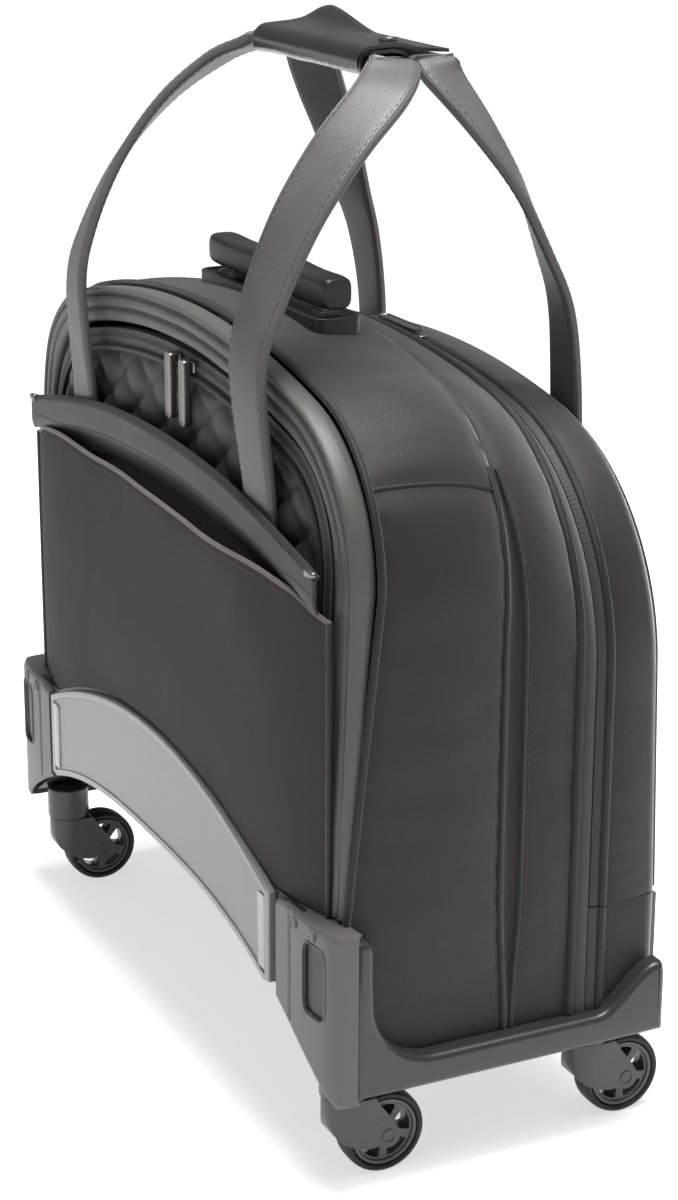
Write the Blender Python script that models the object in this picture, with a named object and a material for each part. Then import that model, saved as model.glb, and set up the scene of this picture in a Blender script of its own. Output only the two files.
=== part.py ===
"""Rolling laptop case: domed fabric body on a vaulted base with four swivel castors and a telescopic pull handle.

Metres, +Z up. Front faces -Y. The origin is on the floor, under the middle of the case.
"""
import math

import bmesh
import bpy
from mathutils import Matrix, Vector

# Clearances
GAP = 0.0004
RUNNING_GAP = 0.0030
TUBE_GAP = 0.00035
BORE_GAP = 0.0003
WHEEL_CLEAR = 0.0014

# Fabric body
HALF_WIDTH = 0.214
RIM_APEX = 0.415
ZIP_APEX = 0.384
TOP_RADIUS = 0.600
SHOULDER_FRONT = 0.085
SHOULDER_REAR = 0.120
DOME_POWER = 3.0
FABRIC = 0.003
FRONT_TOP_Y = -0.068
FRONT_LOW_Y = -0.086
ZIP_Y = 0.052
BACK_TOP_Y = 0.087
BACK_LOW_Y = 0.0955
BACK_ROUND = 0.007
RIM_WIDTH = 0.020
RIM_DEPTH_TOP = 0.016
RIM_DEPTH_LOW = 0.0036
RIM_CHAMFER = 0.0020

# Base
BASE_EDGE_Z = 0.053
VAULT_RISE = 0.061
VAULT_POWER = 2.86
CHASSIS_THICK = 0.004
TRIM_THICK = 0.0105
TRIM_BAND = 0.017
TRIM_COLUMN_W = 0.0115
TRIM_COLUMN_Z = 0.140
TRIM_SWEEP = 0.025
TRIM_REAR_Z = 0.095
TRIM_REAR_RUN = 0.034
TRIM_ROUND = 0.013
WALL_THICK = 0.003
WALL_RIM = 0.002
WALL_FORWARD = 0.0102
BOARD_THICK = 0.003
BOARD_MARGIN = 0.012
SKID_THICK = 0.0026
SKID_TOP_Z = 0.125
SKIRT_TOP_Z = 0.129

# Kick plate and front corner guards
KICK_HALF = 0.160
KICK_THICK = 0.0028
KICK_BOW = 0.0010
KICK_LIP = 0.0008
KICK_LIP_W = 0.0025
KICK_END_Z = 0.145
KICK_ARCH = 0.035
KICK_CORNER = 0.012
KICK_SHADOW_GAP = 0.007
GUARD_THICK = 0.0032
GUARD_TOP_Z = 0.147
GUARD_PROUD = 0.0022
GUARD_RETURN = 0.0140
GUARD_TURN = 0.0035
GUARD_LAP = 0.024
WINDOW_W = 0.021
WINDOW_H = 0.040
WINDOW_Z = 0.117
WINDOW_DEPTH = 0.0022
INSERT_THICK = 0.0014

# Castors
WHEEL_R = 0.0225
TYRE_THICK = 0.0042
WHEEL_WIDTH = 0.015
RIM_FACE = 0.013
AXLE_R = 0.0025
SPOKE_HOLES = 5
SPOKE_HOLE_R = 0.0036
SPOKE_RING_R = 0.0108
TRAIL = 0.020
HOUSING_R = 0.013
HOUSING_LOW_Z = 0.0465
STEM_R = 0.005
STEM_LEN = 0.010
FORK_WIDTH = 0.0235
FORK_HUB_R = 0.0085
FORK_NOSE = 0.004
CASTOR_EDGE = 0.0015
FRONT_CASTOR_Y = -0.08025
REAR_CASTOR_Y = 0.06175

# Front lid: quilted panel, slip pocket and band
LID_FACE_TOP_Y = -0.080
LID_FACE_LOW_Y = -0.090
LID_BACK = 0.001
ZIP_STRIP = 0.012
BAND_MARGIN = 0.014
BAND_END_Z = 0.323
BAND_ARCH = 0.026
BAND_WIDTH = 0.022
BAND_THICK = 0.003
BAND_LEDGE = 0.0037
POCKET_MARGIN = 0.011
POCKET_END_Z = 0.2995
POCKET_ARCH = 0.016
POCKET_WALL = 0.0025
POCKET_DEPTH = 0.0112

# Carry loops
STRAP_W = 0.028
STRAP_T = 0.005
GRIP_STRAP_W = 0.020
GRIP_STRAP_T = 0.007
STRAP_X = 0.122
REAR_STRAP_X = 0.113
FRONT_LOOP_Y = 0.006
REAR_LOOP_Y = 0.0305
LOOP_Z = 0.543
REAR_STRAP_LOW_Z = 0.330
WRAP_HALF = 0.066
WRAP_ENTRY = 0.008
WRAP_GAP = 0.0007
STRAP_TURNED = 0.80
STRAP_EDGE = 0.6

# Course of a carry loop from its foot to the wrap, as shares of the way (across, back, up)
FRONT_COURSE = ((0.0, 0.0, 0.0), (0.06, -0.05, 0.31), (0.06, 0.04, 0.48), (0.125, 0.24, 0.67),
                (0.25, 0.51, 0.83), (0.48, 0.79, 0.94), (0.81, 0.95, 0.985))
REAR_COURSE = ((0.0, 0.0, 0.0), (-0.03, 0.085, 0.24), (0.03, 0.25, 0.42), (0.18, 0.455, 0.62),
               (0.46, 0.715, 0.80), (0.82, 0.95, 0.95))

# Grip wrap and flap
WRAP_WALL = 0.0025
FLAP_THICK = 0.002
FLAP_TAIL = 0.024
FLAP_LIFT = 0.007

# Pull handle
TROLLEY_Y = -0.024
TUBE_X = 0.058
OUTER_TUBE_X = 0.010
OUTER_TUBE_Y = 0.0065
TUBE_WALL = 0.0012
TUBE_ROUND = 0.003
TUBE_STEP = 0.0012
BEZEL_HALF = 0.078
BEZEL_DEPTH = 0.028
BEZEL_PROUD = 0.004
GRIP_HALF = 0.0755
GRIP_BAR = 0.010
GRIP_FINGER = 0.008
GRIP_DEPTH = 0.018
LEG_W = 0.024
BUTTON_L = 0.025
BUTTON_W = 0.010
BUTTON_POCKET = 0.0055
BUTTON_PROUD = 0.0020
BUTTON_H = 0.0050
DIVIDER_THICK = 0.003

# Zip sliders and pulls
SLIDER_L = 0.012
SLIDER_W = 0.008
SLIDER_T = 0.0045
FRONT_SLIDER_X = 0.010
FRONT_SLIDER_STEP = 0.019
MAIN_SLIDER_X = 0.010
PULL_L = 0.045
FRONT_PULL_L = 0.036
PULL_W = 0.008
PULL_T = 0.0018

# Facet counts
SIDE_STEPS = 4
SHOULDER_STEPS = 5
TOP_STEPS = 8
ROUND_STEPS = 20

# Sizes that follow from the ones above
TRIM_IN = HALF_WIDTH + GAP
BASE_HALF = TRIM_IN + TRIM_THICK
CASTOR_X = HALF_WIDTH - HOUSING_R - GAP
SPAN_Y = ZIP_Y - FRONT_TOP_Y
WALL_BACK_Y = FRONT_LOW_Y - WALL_FORWARD
WALL_FACE_Y = WALL_BACK_Y - WALL_THICK
KICK_FACE_Y = WALL_FACE_Y - GAP - KICK_THICK - KICK_BOW - KICK_LIP
SKIRT_Y = BACK_LOW_Y
BOARD_TOP = BASE_EDGE_Z + VAULT_RISE + CHASSIS_THICK + GAP + BOARD_THICK
WALL_HALF = KICK_HALF + KICK_SHADOW_GAP + GUARD_LAP
FRONT_HINGE = Vector((0.0, KICK_FACE_Y, KICK_END_Z + WALL_RIM))
REAR_HINGE = Vector((0.0, SKIRT_Y, SKIRT_TOP_Z))
LID_INSET = RIM_WIDTH + RUNNING_GAP
BAND_HALF = HALF_WIDTH - BAND_MARGIN
POCKET_HALF = HALF_WIDTH - POCKET_MARGIN
TROLLEY_U = (TROLLEY_Y - FRONT_TOP_Y) / SPAN_Y
DIVIDER_Y = TROLLEY_Y + OUTER_TUBE_Y + GAP
DIVIDER_FAR_Y = DIVIDER_Y + DIVIDER_THICK
SHOULDER_RISE = math.sqrt((TOP_RADIUS - SHOULDER_FRONT) ** 2 - (HALF_WIDTH - SHOULDER_FRONT) ** 2)
FRONT_LEAN_Z = RIM_APEX - TOP_RADIUS + SHOULDER_RISE

MATERIALS = {
    "fabric": ((0.045, 0.041, 0.039), 0.55, 0.0),
    "quilt": ((0.030, 0.029, 0.028), 0.40, 0.0),
    "rim": ((0.100, 0.104, 0.096), 0.42, 0.0),
    "leatherette": ((0.140, 0.130, 0.128), 0.50, 0.0),
    "black leatherette": ((0.016, 0.016, 0.017), 0.28, 0.0),
    "grey plastic": ((0.150, 0.142, 0.136), 0.45, 0.0),
    "black plastic": ((0.030, 0.029, 0.029), 0.50, 0.0),
    "silver": ((0.420, 0.405, 0.400), 0.35, 0.6),
    "aluminium": ((0.550, 0.550, 0.560), 0.30, 1.0),
    "steel": ((0.450, 0.450, 0.450), 0.30, 1.0),
    "pewter": ((0.300, 0.295, 0.280), 0.35, 1.0),
    "tyre": ((0.020, 0.020, 0.020), 0.60, 0.0),
    "board": ((0.060, 0.057, 0.055), 0.80, 0.0),
}


def material(name):
    """Return the named Principled material, made on first use."""
    found = bpy.data.materials.get(name)
    if found:
        return found
    colour, roughness, metallic = MATERIALS[name]
    made = bpy.data.materials.new(name)
    made.use_nodes = True
    shader = made.node_tree.nodes["Principled BSDF"]
    shader.inputs["Base Color"].default_value = (*colour, 1.0)
    shader.inputs["Roughness"].default_value = roughness
    shader.inputs["Metallic"].default_value = metallic
    return made


def finish(name, bm, look, origin=(0.0, 0.0, 0.0)):
    """Turn a bmesh in world coordinates into a named object with its origin at a joint."""
    bmesh.ops.recalc_face_normals(bm, faces=bm.faces)
    bmesh.ops.translate(bm, verts=bm.verts, vec=-Vector(origin))
    mesh = bpy.data.meshes.new(name)
    bm.to_mesh(mesh)
    bm.free()
    mesh.materials.append(material(look))
    mesh.shade_smooth()
    mesh.set_sharp_from_angle(angle=math.radians(35.0))
    piece = bpy.data.objects.new(name, mesh)
    piece.location = origin
    bpy.context.scene.collection.objects.link(piece)
    return piece


def apply_boolean(piece, cutter_bm, operation):
    """Cut a shape out of a piece, or join it on, with an exact Boolean."""
    mesh = bpy.data.meshes.new(piece.name + "_tool")
    bmesh.ops.recalc_face_normals(cutter_bm, faces=cutter_bm.faces)
    bmesh.ops.translate(cutter_bm, verts=cutter_bm.verts, vec=-piece.location)
    cutter_bm.to_mesh(mesh)
    cutter_bm.free()
    tool = bpy.data.objects.new(piece.name + "_tool", mesh)
    tool.location = piece.location
    tool.hide_render = True
    tool.display_type = "WIRE"
    bpy.context.scene.collection.objects.link(tool)
    cut = piece.modifiers.new(operation.lower(), "BOOLEAN")
    cut.operation = operation
    cut.solver = "EXACT"
    cut.object = tool


def bevel(piece, width, segments=1):
    """Round a piece's sharp edges."""
    soft = piece.modifiers.new("bevel", "BEVEL")
    soft.width = width
    soft.segments = segments
    soft.limit_method = "ANGLE"
    soft.angle_limit = math.radians(40.0)


def plate(front, back, holes=()):
    """Close two facing grids of points into a slab; the cells in holes go right through."""
    bm = bmesh.new()
    rows = len(front)
    cols = len(front[0])
    face_v = [[bm.verts.new(p) for p in row] for row in front]
    back_v = [[bm.verts.new(p) for p in row] for row in back]
    solid = {(i, j) for i in range(rows - 1) for j in range(cols - 1)} - set(holes)
    for i, j in sorted(solid):
        bm.faces.new((face_v[i][j], face_v[i + 1][j], face_v[i + 1][j + 1], face_v[i][j + 1]))
        bm.faces.new((back_v[i][j], back_v[i][j + 1], back_v[i + 1][j + 1], back_v[i + 1][j]))
        edges = (
            ((i, j - 1), (i, j), (i + 1, j)),
            ((i, j + 1), (i + 1, j + 1), (i, j + 1)),
            ((i - 1, j), (i, j + 1), (i, j)),
            ((i + 1, j), (i + 1, j), (i + 1, j + 1)),
        )
        for cell, a, b in edges:
            if cell not in solid:
                bm.faces.new((face_v[b[0]][b[1]], face_v[a[0]][a[1]], back_v[a[0]][a[1]], back_v[b[0]][b[1]]))
    return bm


def loft(rings):
    """Bridge closed rings of equal count and cap both ends."""
    bm = bmesh.new()
    loops = [[bm.verts.new(p) for p in ring] for ring in rings]
    count = len(loops[0])
    for low, high in zip(loops, loops[1:]):
        for k in range(count):
            nxt = (k + 1) % count
            bm.faces.new((low[k], low[nxt], high[nxt], high[k]))
    bm.faces.new(loops[0])
    bm.faces.new(list(reversed(loops[-1])))
    return bm


def closed_loft(rings):
    """Bridge closed rings of equal count, the last one back to the first."""
    bm = bmesh.new()
    loops = [[bm.verts.new(p) for p in ring] for ring in rings]
    count = len(loops[0])
    for low, high in zip(loops, loops[1:] + loops[:1]):
        for k in range(count):
            nxt = (k + 1) % count
            bm.faces.new((low[k], low[nxt], high[nxt], high[k]))
    return bm


def box(low, high):
    """Box between two corners."""
    bm = bmesh.new()
    size = Vector(high) - Vector(low)
    middle = (Vector(high) + Vector(low)) / 2.0
    place = Matrix.Translation(middle) @ Matrix.Diagonal((*size, 1.0))
    bmesh.ops.create_cube(bm, size=1.0, matrix=place)
    return bm


def prism(outline, depth):
    """Extrude a flat outline of points along a vector."""
    bm = bmesh.new()
    face = bm.faces.new([bm.verts.new(p) for p in outline])
    swept = bmesh.ops.extrude_face_region(bm, geom=[face])
    moved = [g for g in swept["geom"] if isinstance(g, bmesh.types.BMVert)]
    bmesh.ops.translate(bm, verts=moved, vec=depth)
    return bm


def turned(profile, centre, axis, steps):
    """Spin a closed profile of (radius, along) points about an axis through a centre."""
    bm = bmesh.new()
    turn = Vector((0.0, 0.0, 1.0)).rotation_difference(Vector(axis)).to_matrix()
    verts = [bm.verts.new(Vector(centre) + turn @ Vector((r, 0.0, a))) for r, a in profile]
    edges = [bm.edges.new((a, b)) for a, b in zip(verts, verts[1:] + verts[:1])]
    bmesh.ops.spin(bm, geom=verts + edges, cent=centre, axis=axis, angle=math.tau, steps=steps, use_merge=True)
    bmesh.ops.remove_doubles(bm, verts=bm.verts, dist=1e-7)
    return bm


def rod(radius, start, end, steps):
    """Solid cylinder between two points."""
    bm = bmesh.new()
    along = Vector(end) - Vector(start)
    turn = Vector((0.0, 0.0, 1.0)).rotation_difference(along).to_matrix().to_4x4()
    place = Matrix.Translation((Vector(start) + Vector(end)) / 2.0) @ turn
    bmesh.ops.create_cone(bm, cap_ends=True, segments=steps, radius1=radius, radius2=radius,
                          depth=along.length, matrix=place)
    return bm


def merge(parts):
    """Put several separate shapes into one bmesh, for use as a cutter."""
    whole = bmesh.new()
    for part in parts:
        mesh = bpy.data.meshes.new("scrap")
        part.to_mesh(mesh)
        part.free()
        whole.from_mesh(mesh)
        bpy.data.meshes.remove(mesh)
    return whole


def vault(x):
    """Height of the base's arched underside."""
    return BASE_EDGE_Z + VAULT_RISE * (1.0 - min(abs(x) / BASE_HALF, 1.0) ** VAULT_POWER)


def floor_top(x):
    """Height of the chassis's upper face."""
    return vault(x) + CHASSIS_THICK


def kick_top(x):
    """Height of the kick plate's arched upper edge."""
    return KICK_END_Z + KICK_ARCH * max(0.0, 1.0 - (x / KICK_HALF) ** 2)


def wall_top(x):
    """Height of the front wall, which stands a little above the kick plate."""
    return kick_top(x) + WALL_RIM


def front_edge(z):
    """Y of the gusset's front edge, which leans forward towards the base."""
    share = min(max((z - GUARD_TOP_Z) / (FRONT_LEAN_Z - GUARD_TOP_Z), 0.0), 1.0)
    return FRONT_LOW_Y + (FRONT_TOP_Y - FRONT_LOW_Y) * share


def back_face(z):
    """Y of the rear section's sloping back."""
    share = (z - SKIRT_TOP_Z) / (ZIP_APEX - SKIRT_TOP_Z)
    return BACK_LOW_Y + (BACK_TOP_Y - BACK_LOW_Y) * share


def apex(u):
    """Dome height from the front edge (u = 0) to the main zip (u = 1)."""
    return RIM_APEX - (RIM_APEX - ZIP_APEX) * u ** DOME_POWER


def shoulder(u):
    """Shoulder radius from the front edge to the main zip."""
    return SHOULDER_FRONT + (SHOULDER_REAR - SHOULDER_FRONT) * u


def dome(x, u):
    """Height of the dome's top arc at x."""
    return apex(u) - TOP_RADIUS + math.sqrt(TOP_RADIUS ** 2 - x ** 2)


def arch(u, inset, low):
    """Points (x, z) of the body's arch, from the left foot over the top to the right foot."""
    half = HALF_WIDTH - inset
    corner = shoulder(u) - inset
    top = TOP_RADIUS - inset
    side = HALF_WIDTH - shoulder(u)
    top_z = apex(u) - TOP_RADIUS
    corner_z = top_z + math.sqrt((top - corner) ** 2 - side ** 2)
    lean = math.asin(side / (top - corner))
    right = []
    for k in range(SIDE_STEPS):
        right.append((half, low + (corner_z - low) * k / SIDE_STEPS))
    for k in range(SHOULDER_STEPS):
        turn = (math.pi / 2.0 - lean) * k / SHOULDER_STEPS
        right.append((side + corner * math.cos(turn), corner_z + corner * math.sin(turn)))
    crown = []
    for k in range(TOP_STEPS + 1):
        turn = lean * (1.0 - 2.0 * k / TOP_STEPS)
        crown.append((top * math.sin(turn), top_z + top * math.cos(turn)))
    return [(-x, z) for x, z in right] + crown[::-1] + right[::-1]


def lid_top(x):
    """Height of the quilted panel's upper edge at x."""
    side = HALF_WIDTH - SHOULDER_FRONT
    top = TOP_RADIUS - LID_INSET
    corner = SHOULDER_FRONT - LID_INSET
    top_z = RIM_APEX - TOP_RADIUS
    tangent = top * side / (top - corner)
    if abs(x) <= tangent:
        return top_z + math.sqrt(top ** 2 - x ** 2)
    corner_z = top_z + math.sqrt((top - corner) ** 2 - side ** 2)
    return corner_z + math.sqrt(max(corner ** 2 - (abs(x) - side) ** 2, 0.0))


def spread(low, high, steps):
    """Evenly spaced values with both ends."""
    return [low + (high - low) * k / steps for k in range(steps + 1)]


def arc(centre, radius, start, end, steps):
    """Points on an arc, angles in degrees."""
    return [(centre[0] + radius * math.cos(math.radians(a)), centre[1] + radius * math.sin(math.radians(a)))
            for a in spread(start, end, steps)]


def make_chassis():
    """Vaulted chassis slab."""
    xs = spread(-HALF_WIDTH, HALF_WIDTH, 32)
    ys = (WALL_BACK_Y + GAP, SKIRT_Y)
    top = [[(x, y, floor_top(x)) for y in ys] for x in xs]
    low = [[(x, y, vault(x)) for y in ys] for x in xs]
    finish("chassis_vault", plate(top, low), "black plastic")


def make_front_wall():
    """Arched wall that carries the kick plate and the guards."""
    xs = spread(-WALL_HALF, WALL_HALF, 24)
    front = [[(x, WALL_FACE_Y, z) for z in (vault(x) + WALL_RIM, wall_top(x))] for x in xs]
    back = [[(x, WALL_BACK_Y, z) for z in (vault(x) + WALL_RIM, wall_top(x))] for x in xs]
    finish("front_wall", plate(front, back), "black plastic")


def make_kick_plate():
    """Silver kick plate with a raised lip round its recessed field."""
    lip = KICK_LIP_W
    step = KICK_LIP_W + KICK_LIP
    inner = spread(-KICK_HALF + KICK_CORNER, KICK_HALF - KICK_CORNER, 14)
    corner = [KICK_HALF - lip, KICK_HALF - step, KICK_HALF - KICK_CORNER / 2.0]
    xs = [-KICK_HALF] + [-x for x in corner] + inner + corner[::-1] + [KICK_HALF]
    back_y = WALL_FACE_Y - GAP
    front = []
    back = []
    for i, x in enumerate(xs):
        into = max(0.0, abs(x) - KICK_HALF + KICK_CORNER)
        trim = KICK_CORNER - math.sqrt(max(KICK_CORNER ** 2 - into ** 2, 0.0))
        low = vault(x) + trim
        high = kick_top(x) - trim
        zs = (low, low + lip, low + step, (low + high) / 2.0, high - step, high - lip, high)
        bow = KICK_BOW * (1.0 - (x / KICK_HALF) ** 2)
        field = back_y - KICK_THICK - bow
        end = i < 2 or i > len(xs) - 3
        front.append([(x, field - (KICK_LIP if end or j < 2 or j > 4 else 0.0), z) for j, z in enumerate(zs)])
        back.append([(x, back_y, z) for z in zs])
    finish("kick_plate", plate(front, back), "silver")


def make_guard(side, label):
    """Corner guard that wraps from the front round to the side trim, with a recessed window."""
    inner_x = KICK_HALF + KICK_SHADOW_GAP
    back_y = WALL_FACE_Y - GAP
    face_y = back_y - GUARD_THICK
    seat_x = WALL_HALF + GAP
    bend_x = seat_x + GUARD_THICK
    edge_x = BASE_HALF - GUARD_PROUD / 2.0
    corner_x = BASE_HALF + GUARD_PROUD / 2.0
    rear_y = back_y + GUARD_RETURN
    outer = [(inner_x, face_y), (seat_x, face_y), (bend_x, face_y), (edge_x, face_y + GUARD_TURN),
             (corner_x, face_y + GUARD_TURN * 2.0), (BASE_HALF + GUARD_PROUD, rear_y)]
    inner = [(inner_x, back_y), (seat_x, back_y), (seat_x, WALL_BACK_Y), (TRIM_IN, WALL_BACK_Y),
             (TRIM_IN, (WALL_BACK_Y + rear_y) / 2.0), (TRIM_IN, rear_y)]
    front = [[(side * x, y, z) for z in (vault(x), GUARD_TOP_Z)] for x, y in outer]
    back = [[(side * x, y, z) for z in (vault(x), GUARD_TOP_Z)] for x, y in inner]
    guard = finish("front_guard_" + label, plate(front, back), "grey plastic")
    run = Vector((edge_x - bend_x, GUARD_TURN))
    tilt = math.atan2(run.y, run.x)
    middle = Vector((side * (bend_x + edge_x) / 2.0, face_y + GUARD_TURN / 2.0, WINDOW_Z))
    place = Matrix.Translation(middle) @ Matrix.Rotation(side * tilt, 4, "Z")
    half_w = WINDOW_W / 2.0
    half_h = WINDOW_H / 2.0
    cutter = box((-half_w, -WINDOW_DEPTH, -half_h), (half_w, WINDOW_DEPTH, half_h))
    bmesh.ops.transform(cutter, matrix=place, verts=cutter.verts)
    apply_boolean(guard, cutter, "DIFFERENCE")
    rest = WINDOW_DEPTH - BORE_GAP
    insert = box((-half_w + GAP, rest - INSERT_THICK, -half_h + GAP), (half_w - GAP, rest, half_h - GAP))
    bmesh.ops.transform(insert, matrix=place, verts=insert.verts)
    finish("guard_window_" + label, insert, "black plastic")


def make_side_trim(side, label):
    """Side trim: low band that sweeps up into a column at the front and rises at the rear."""
    front = WALL_FACE_Y - GAP + GUARD_RETURN + GAP
    rear = SKIRT_Y
    band_z = BASE_EDGE_Z + TRIM_BAND
    half = TRIM_COLUMN_W / 2.0
    low_z = BASE_EDGE_Z
    outline = arc((front + half, TRIM_COLUMN_Z - half), half, 180.0, 0.0, 6)
    outline += arc((front + TRIM_COLUMN_W + TRIM_SWEEP, band_z + TRIM_SWEEP), TRIM_SWEEP, 180.0, 270.0, 7)
    rise = TRIM_REAR_Z - band_z
    for share in spread(0.0, 1.0, 6):
        ease = share * share * (3.0 - 2.0 * share)
        outline.append((rear - TRIM_REAR_RUN + (TRIM_REAR_RUN - TRIM_ROUND / 4.0) * share, band_z + rise * ease))
    outline.append((rear, TRIM_REAR_Z - TRIM_ROUND / 4.0))
    outline += arc((rear - TRIM_ROUND, low_z + TRIM_ROUND), TRIM_ROUND, 0.0, -90.0, 5)
    outline += arc((front + TRIM_ROUND, low_z + TRIM_ROUND), TRIM_ROUND, -90.0, -180.0, 5)
    shape = prism([(side * TRIM_IN, y, z) for y, z in outline], (side * TRIM_THICK, 0.0, 0.0))
    trim = finish("side_trim_" + label, shape, "grey plastic")
    bevel(trim, TRIM_THICK / 6.0)


def make_rear_base():
    """Fabric skirt round the rear foot of the case and the skid plate behind it."""
    turn = BACK_ROUND
    wall = FABRIC
    start = ZIP_Y + GAP
    corner = (HALF_WIDTH - turn, SKIRT_Y - turn)
    right = [(HALF_WIDTH, start)] + arc(corner, turn, 0.0, 90.0, 4)
    right_in = [(HALF_WIDTH - wall, start)] + arc(corner, turn - wall, 0.0, 90.0, 4)
    across = spread(corner[0], -corner[0], 20)[1:-1]
    outer = right + [(x, SKIRT_Y) for x in across] + [(-x, y) for x, y in right[::-1]]
    inner = right_in + [(x, SKIRT_Y - wall) for x in across] + [(-x, y) for x, y in right_in[::-1]]
    foot = [floor_top(max(abs(a[0]) - wall, 0.0)) + GAP for a in outer]
    front = [[(x, y, foot[k]), (x, y, SKIRT_TOP_Z - GAP)] for k, (x, y) in enumerate(outer)]
    back = [[(x, y, foot[k]), (x, y, SKIRT_TOP_Z - GAP)] for k, (x, y) in enumerate(inner)]
    finish("rear_skirt", plate(front, back), "fabric")
    xs = spread(-corner[0], corner[0], 20)
    face_y = SKIRT_Y + GAP
    near = [[(x, face_y, z) for z in (vault(x), SKID_TOP_Z)] for x in xs]
    far = [[(x, face_y + SKID_THICK, z) for z in (vault(x), SKID_TOP_Z)] for x in xs]
    finish("rear_skid_plate", plate(near, far), "grey plastic")


def make_floor_boards():
    """Flat boards that floor the two compartments; the divider and the tubes stand on the front one."""
    half = HALF_WIDTH - BOARD_MARGIN
    low_z = BOARD_TOP - BOARD_THICK
    front = box((-half, WALL_BACK_Y + BOARD_MARGIN, low_z), (half, DIVIDER_FAR_Y, BOARD_TOP))
    finish("front_floor_board", front, "board")
    main_board = box((-half, DIVIDER_FAR_Y + GAP, low_z), (half, SKIRT_Y - BOARD_MARGIN, BOARD_TOP))
    finish("main_floor_board", main_board, "board")


def make_castor(side, y, label):
    """Castor: housing under the base, fork that trails to the rear, axle, spoked wheel and tyre."""
    x = side * CASTOR_X
    bore = STEM_R + BORE_GAP
    bore_top = HOUSING_LOW_Z + STEM_LEN + BORE_GAP
    edge = CASTOR_EDGE
    steps = ROUND_STEPS
    bm = bmesh.new()

    def ring(radius, height):
        points = []
        for k in range(steps):
            turn = math.tau * k / steps
            px = x + radius * math.cos(turn)
            pz = height if height is not None else vault(px) - GAP - BORE_GAP
            points.append(bm.verts.new((px, y + radius * math.sin(turn), pz)))
        return points

    rings = [ring(bore, bore_top), ring(bore, HOUSING_LOW_Z), ring(HOUSING_R - edge, HOUSING_LOW_Z),
             ring(HOUSING_R, HOUSING_LOW_Z + edge), ring(HOUSING_R, None), ring(HOUSING_R / 2.0, None)]
    for low, high in zip(rings, rings[1:]):
        for k in range(steps):
            nxt = (k + 1) % steps
            bm.faces.new((low[k], low[nxt], high[nxt], high[k]))
    bm.faces.new(rings[0])
    crown = bm.verts.new((x, y, vault(x) - GAP - BORE_GAP))
    for k in range(steps):
        bm.faces.new((rings[-1][k], rings[-1][(k + 1) % steps], crown))
    finish("castor_housing_" + label, bm, "black plastic")

    swivel = Vector((x, y, 0.0))
    hub = Vector((x, y + TRAIL, WHEEL_R))
    top_z = HOUSING_LOW_Z - GAP
    nose = -(HOUSING_R - edge / 2.0)
    outline = [(nose, top_z), (nose, top_z - WHEEL_R * 0.62), (nose + FORK_NOSE, top_z - WHEEL_R * 0.95)]
    outline += arc((TRAIL, WHEEL_R), FORK_HUB_R, 235.0, 400.0, 8)
    outline += [(TRAIL + FORK_HUB_R * 0.35, top_z - WHEEL_R * 0.22), (HOUSING_R * 0.9, top_z)]
    half = FORK_WIDTH / 2.0
    shape = prism([(x - half, y + u, z) for u, z in outline], (FORK_WIDTH, 0.0, 0.0))
    fork = finish("castor_fork_" + label, shape, "black plastic", swivel)
    slot = WHEEL_WIDTH / 2.0 + GAP * 2.0
    turning = WHEEL_R + WHEEL_CLEAR
    apply_boolean(fork, rod(turning, hub - Vector((slot, 0, 0)), hub + Vector((slot, 0, 0)), 24), "DIFFERENCE")
    pin = AXLE_R + BORE_GAP
    reach = Vector((FORK_WIDTH, 0.0, 0.0))
    apply_boolean(fork, rod(pin, hub - reach, hub + reach, 12), "DIFFERENCE")
    stem_low = Vector((x, y, top_z - edge))
    stem_high = Vector((x, y, HOUSING_LOW_Z + STEM_LEN))
    apply_boolean(fork, rod(STEM_R, stem_low, stem_high, 12), "UNION")

    reach = Vector((half - edge / 3.0, 0.0, 0.0))
    finish("castor_axle_" + label, rod(AXLE_R, hub - reach, hub + reach, 12), "steel", swivel)

    rim_r = WHEEL_R - TYRE_THICK - BORE_GAP
    face = RIM_FACE / 2.0
    profile = [(pin, face), (pin, -face), (rim_r, -face), (rim_r, face)]
    wheel = finish("castor_wheel_" + label, turned(profile, hub, (1, 0, 0), 20), "black plastic", hub)
    wide = Vector((WHEEL_WIDTH, 0.0, 0.0))
    holes = []
    for k in range(SPOKE_HOLES):
        turn = math.tau * (k + 0.25) / SPOKE_HOLES
        spot = hub + Vector((0.0, SPOKE_RING_R * math.cos(turn), SPOKE_RING_R * math.sin(turn)))
        holes.append(rod(SPOKE_HOLE_R, spot - wide, spot + wide, 10))
    apply_boolean(wheel, merge(holes), "DIFFERENCE")
    tread = WHEEL_WIDTH / 2.0
    inner = WHEEL_R - TYRE_THICK
    round_off = TYRE_THICK / 2.0
    profile = [(inner, tread), (inner, -tread), (WHEEL_R - round_off, -tread), (WHEEL_R, -tread + round_off),
               (WHEEL_R, tread - round_off), (WHEEL_R - round_off, tread)]
    finish("castor_tyre_" + label, turned(profile, hub, (1, 0, 0), 24), "tyre", hub)


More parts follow.
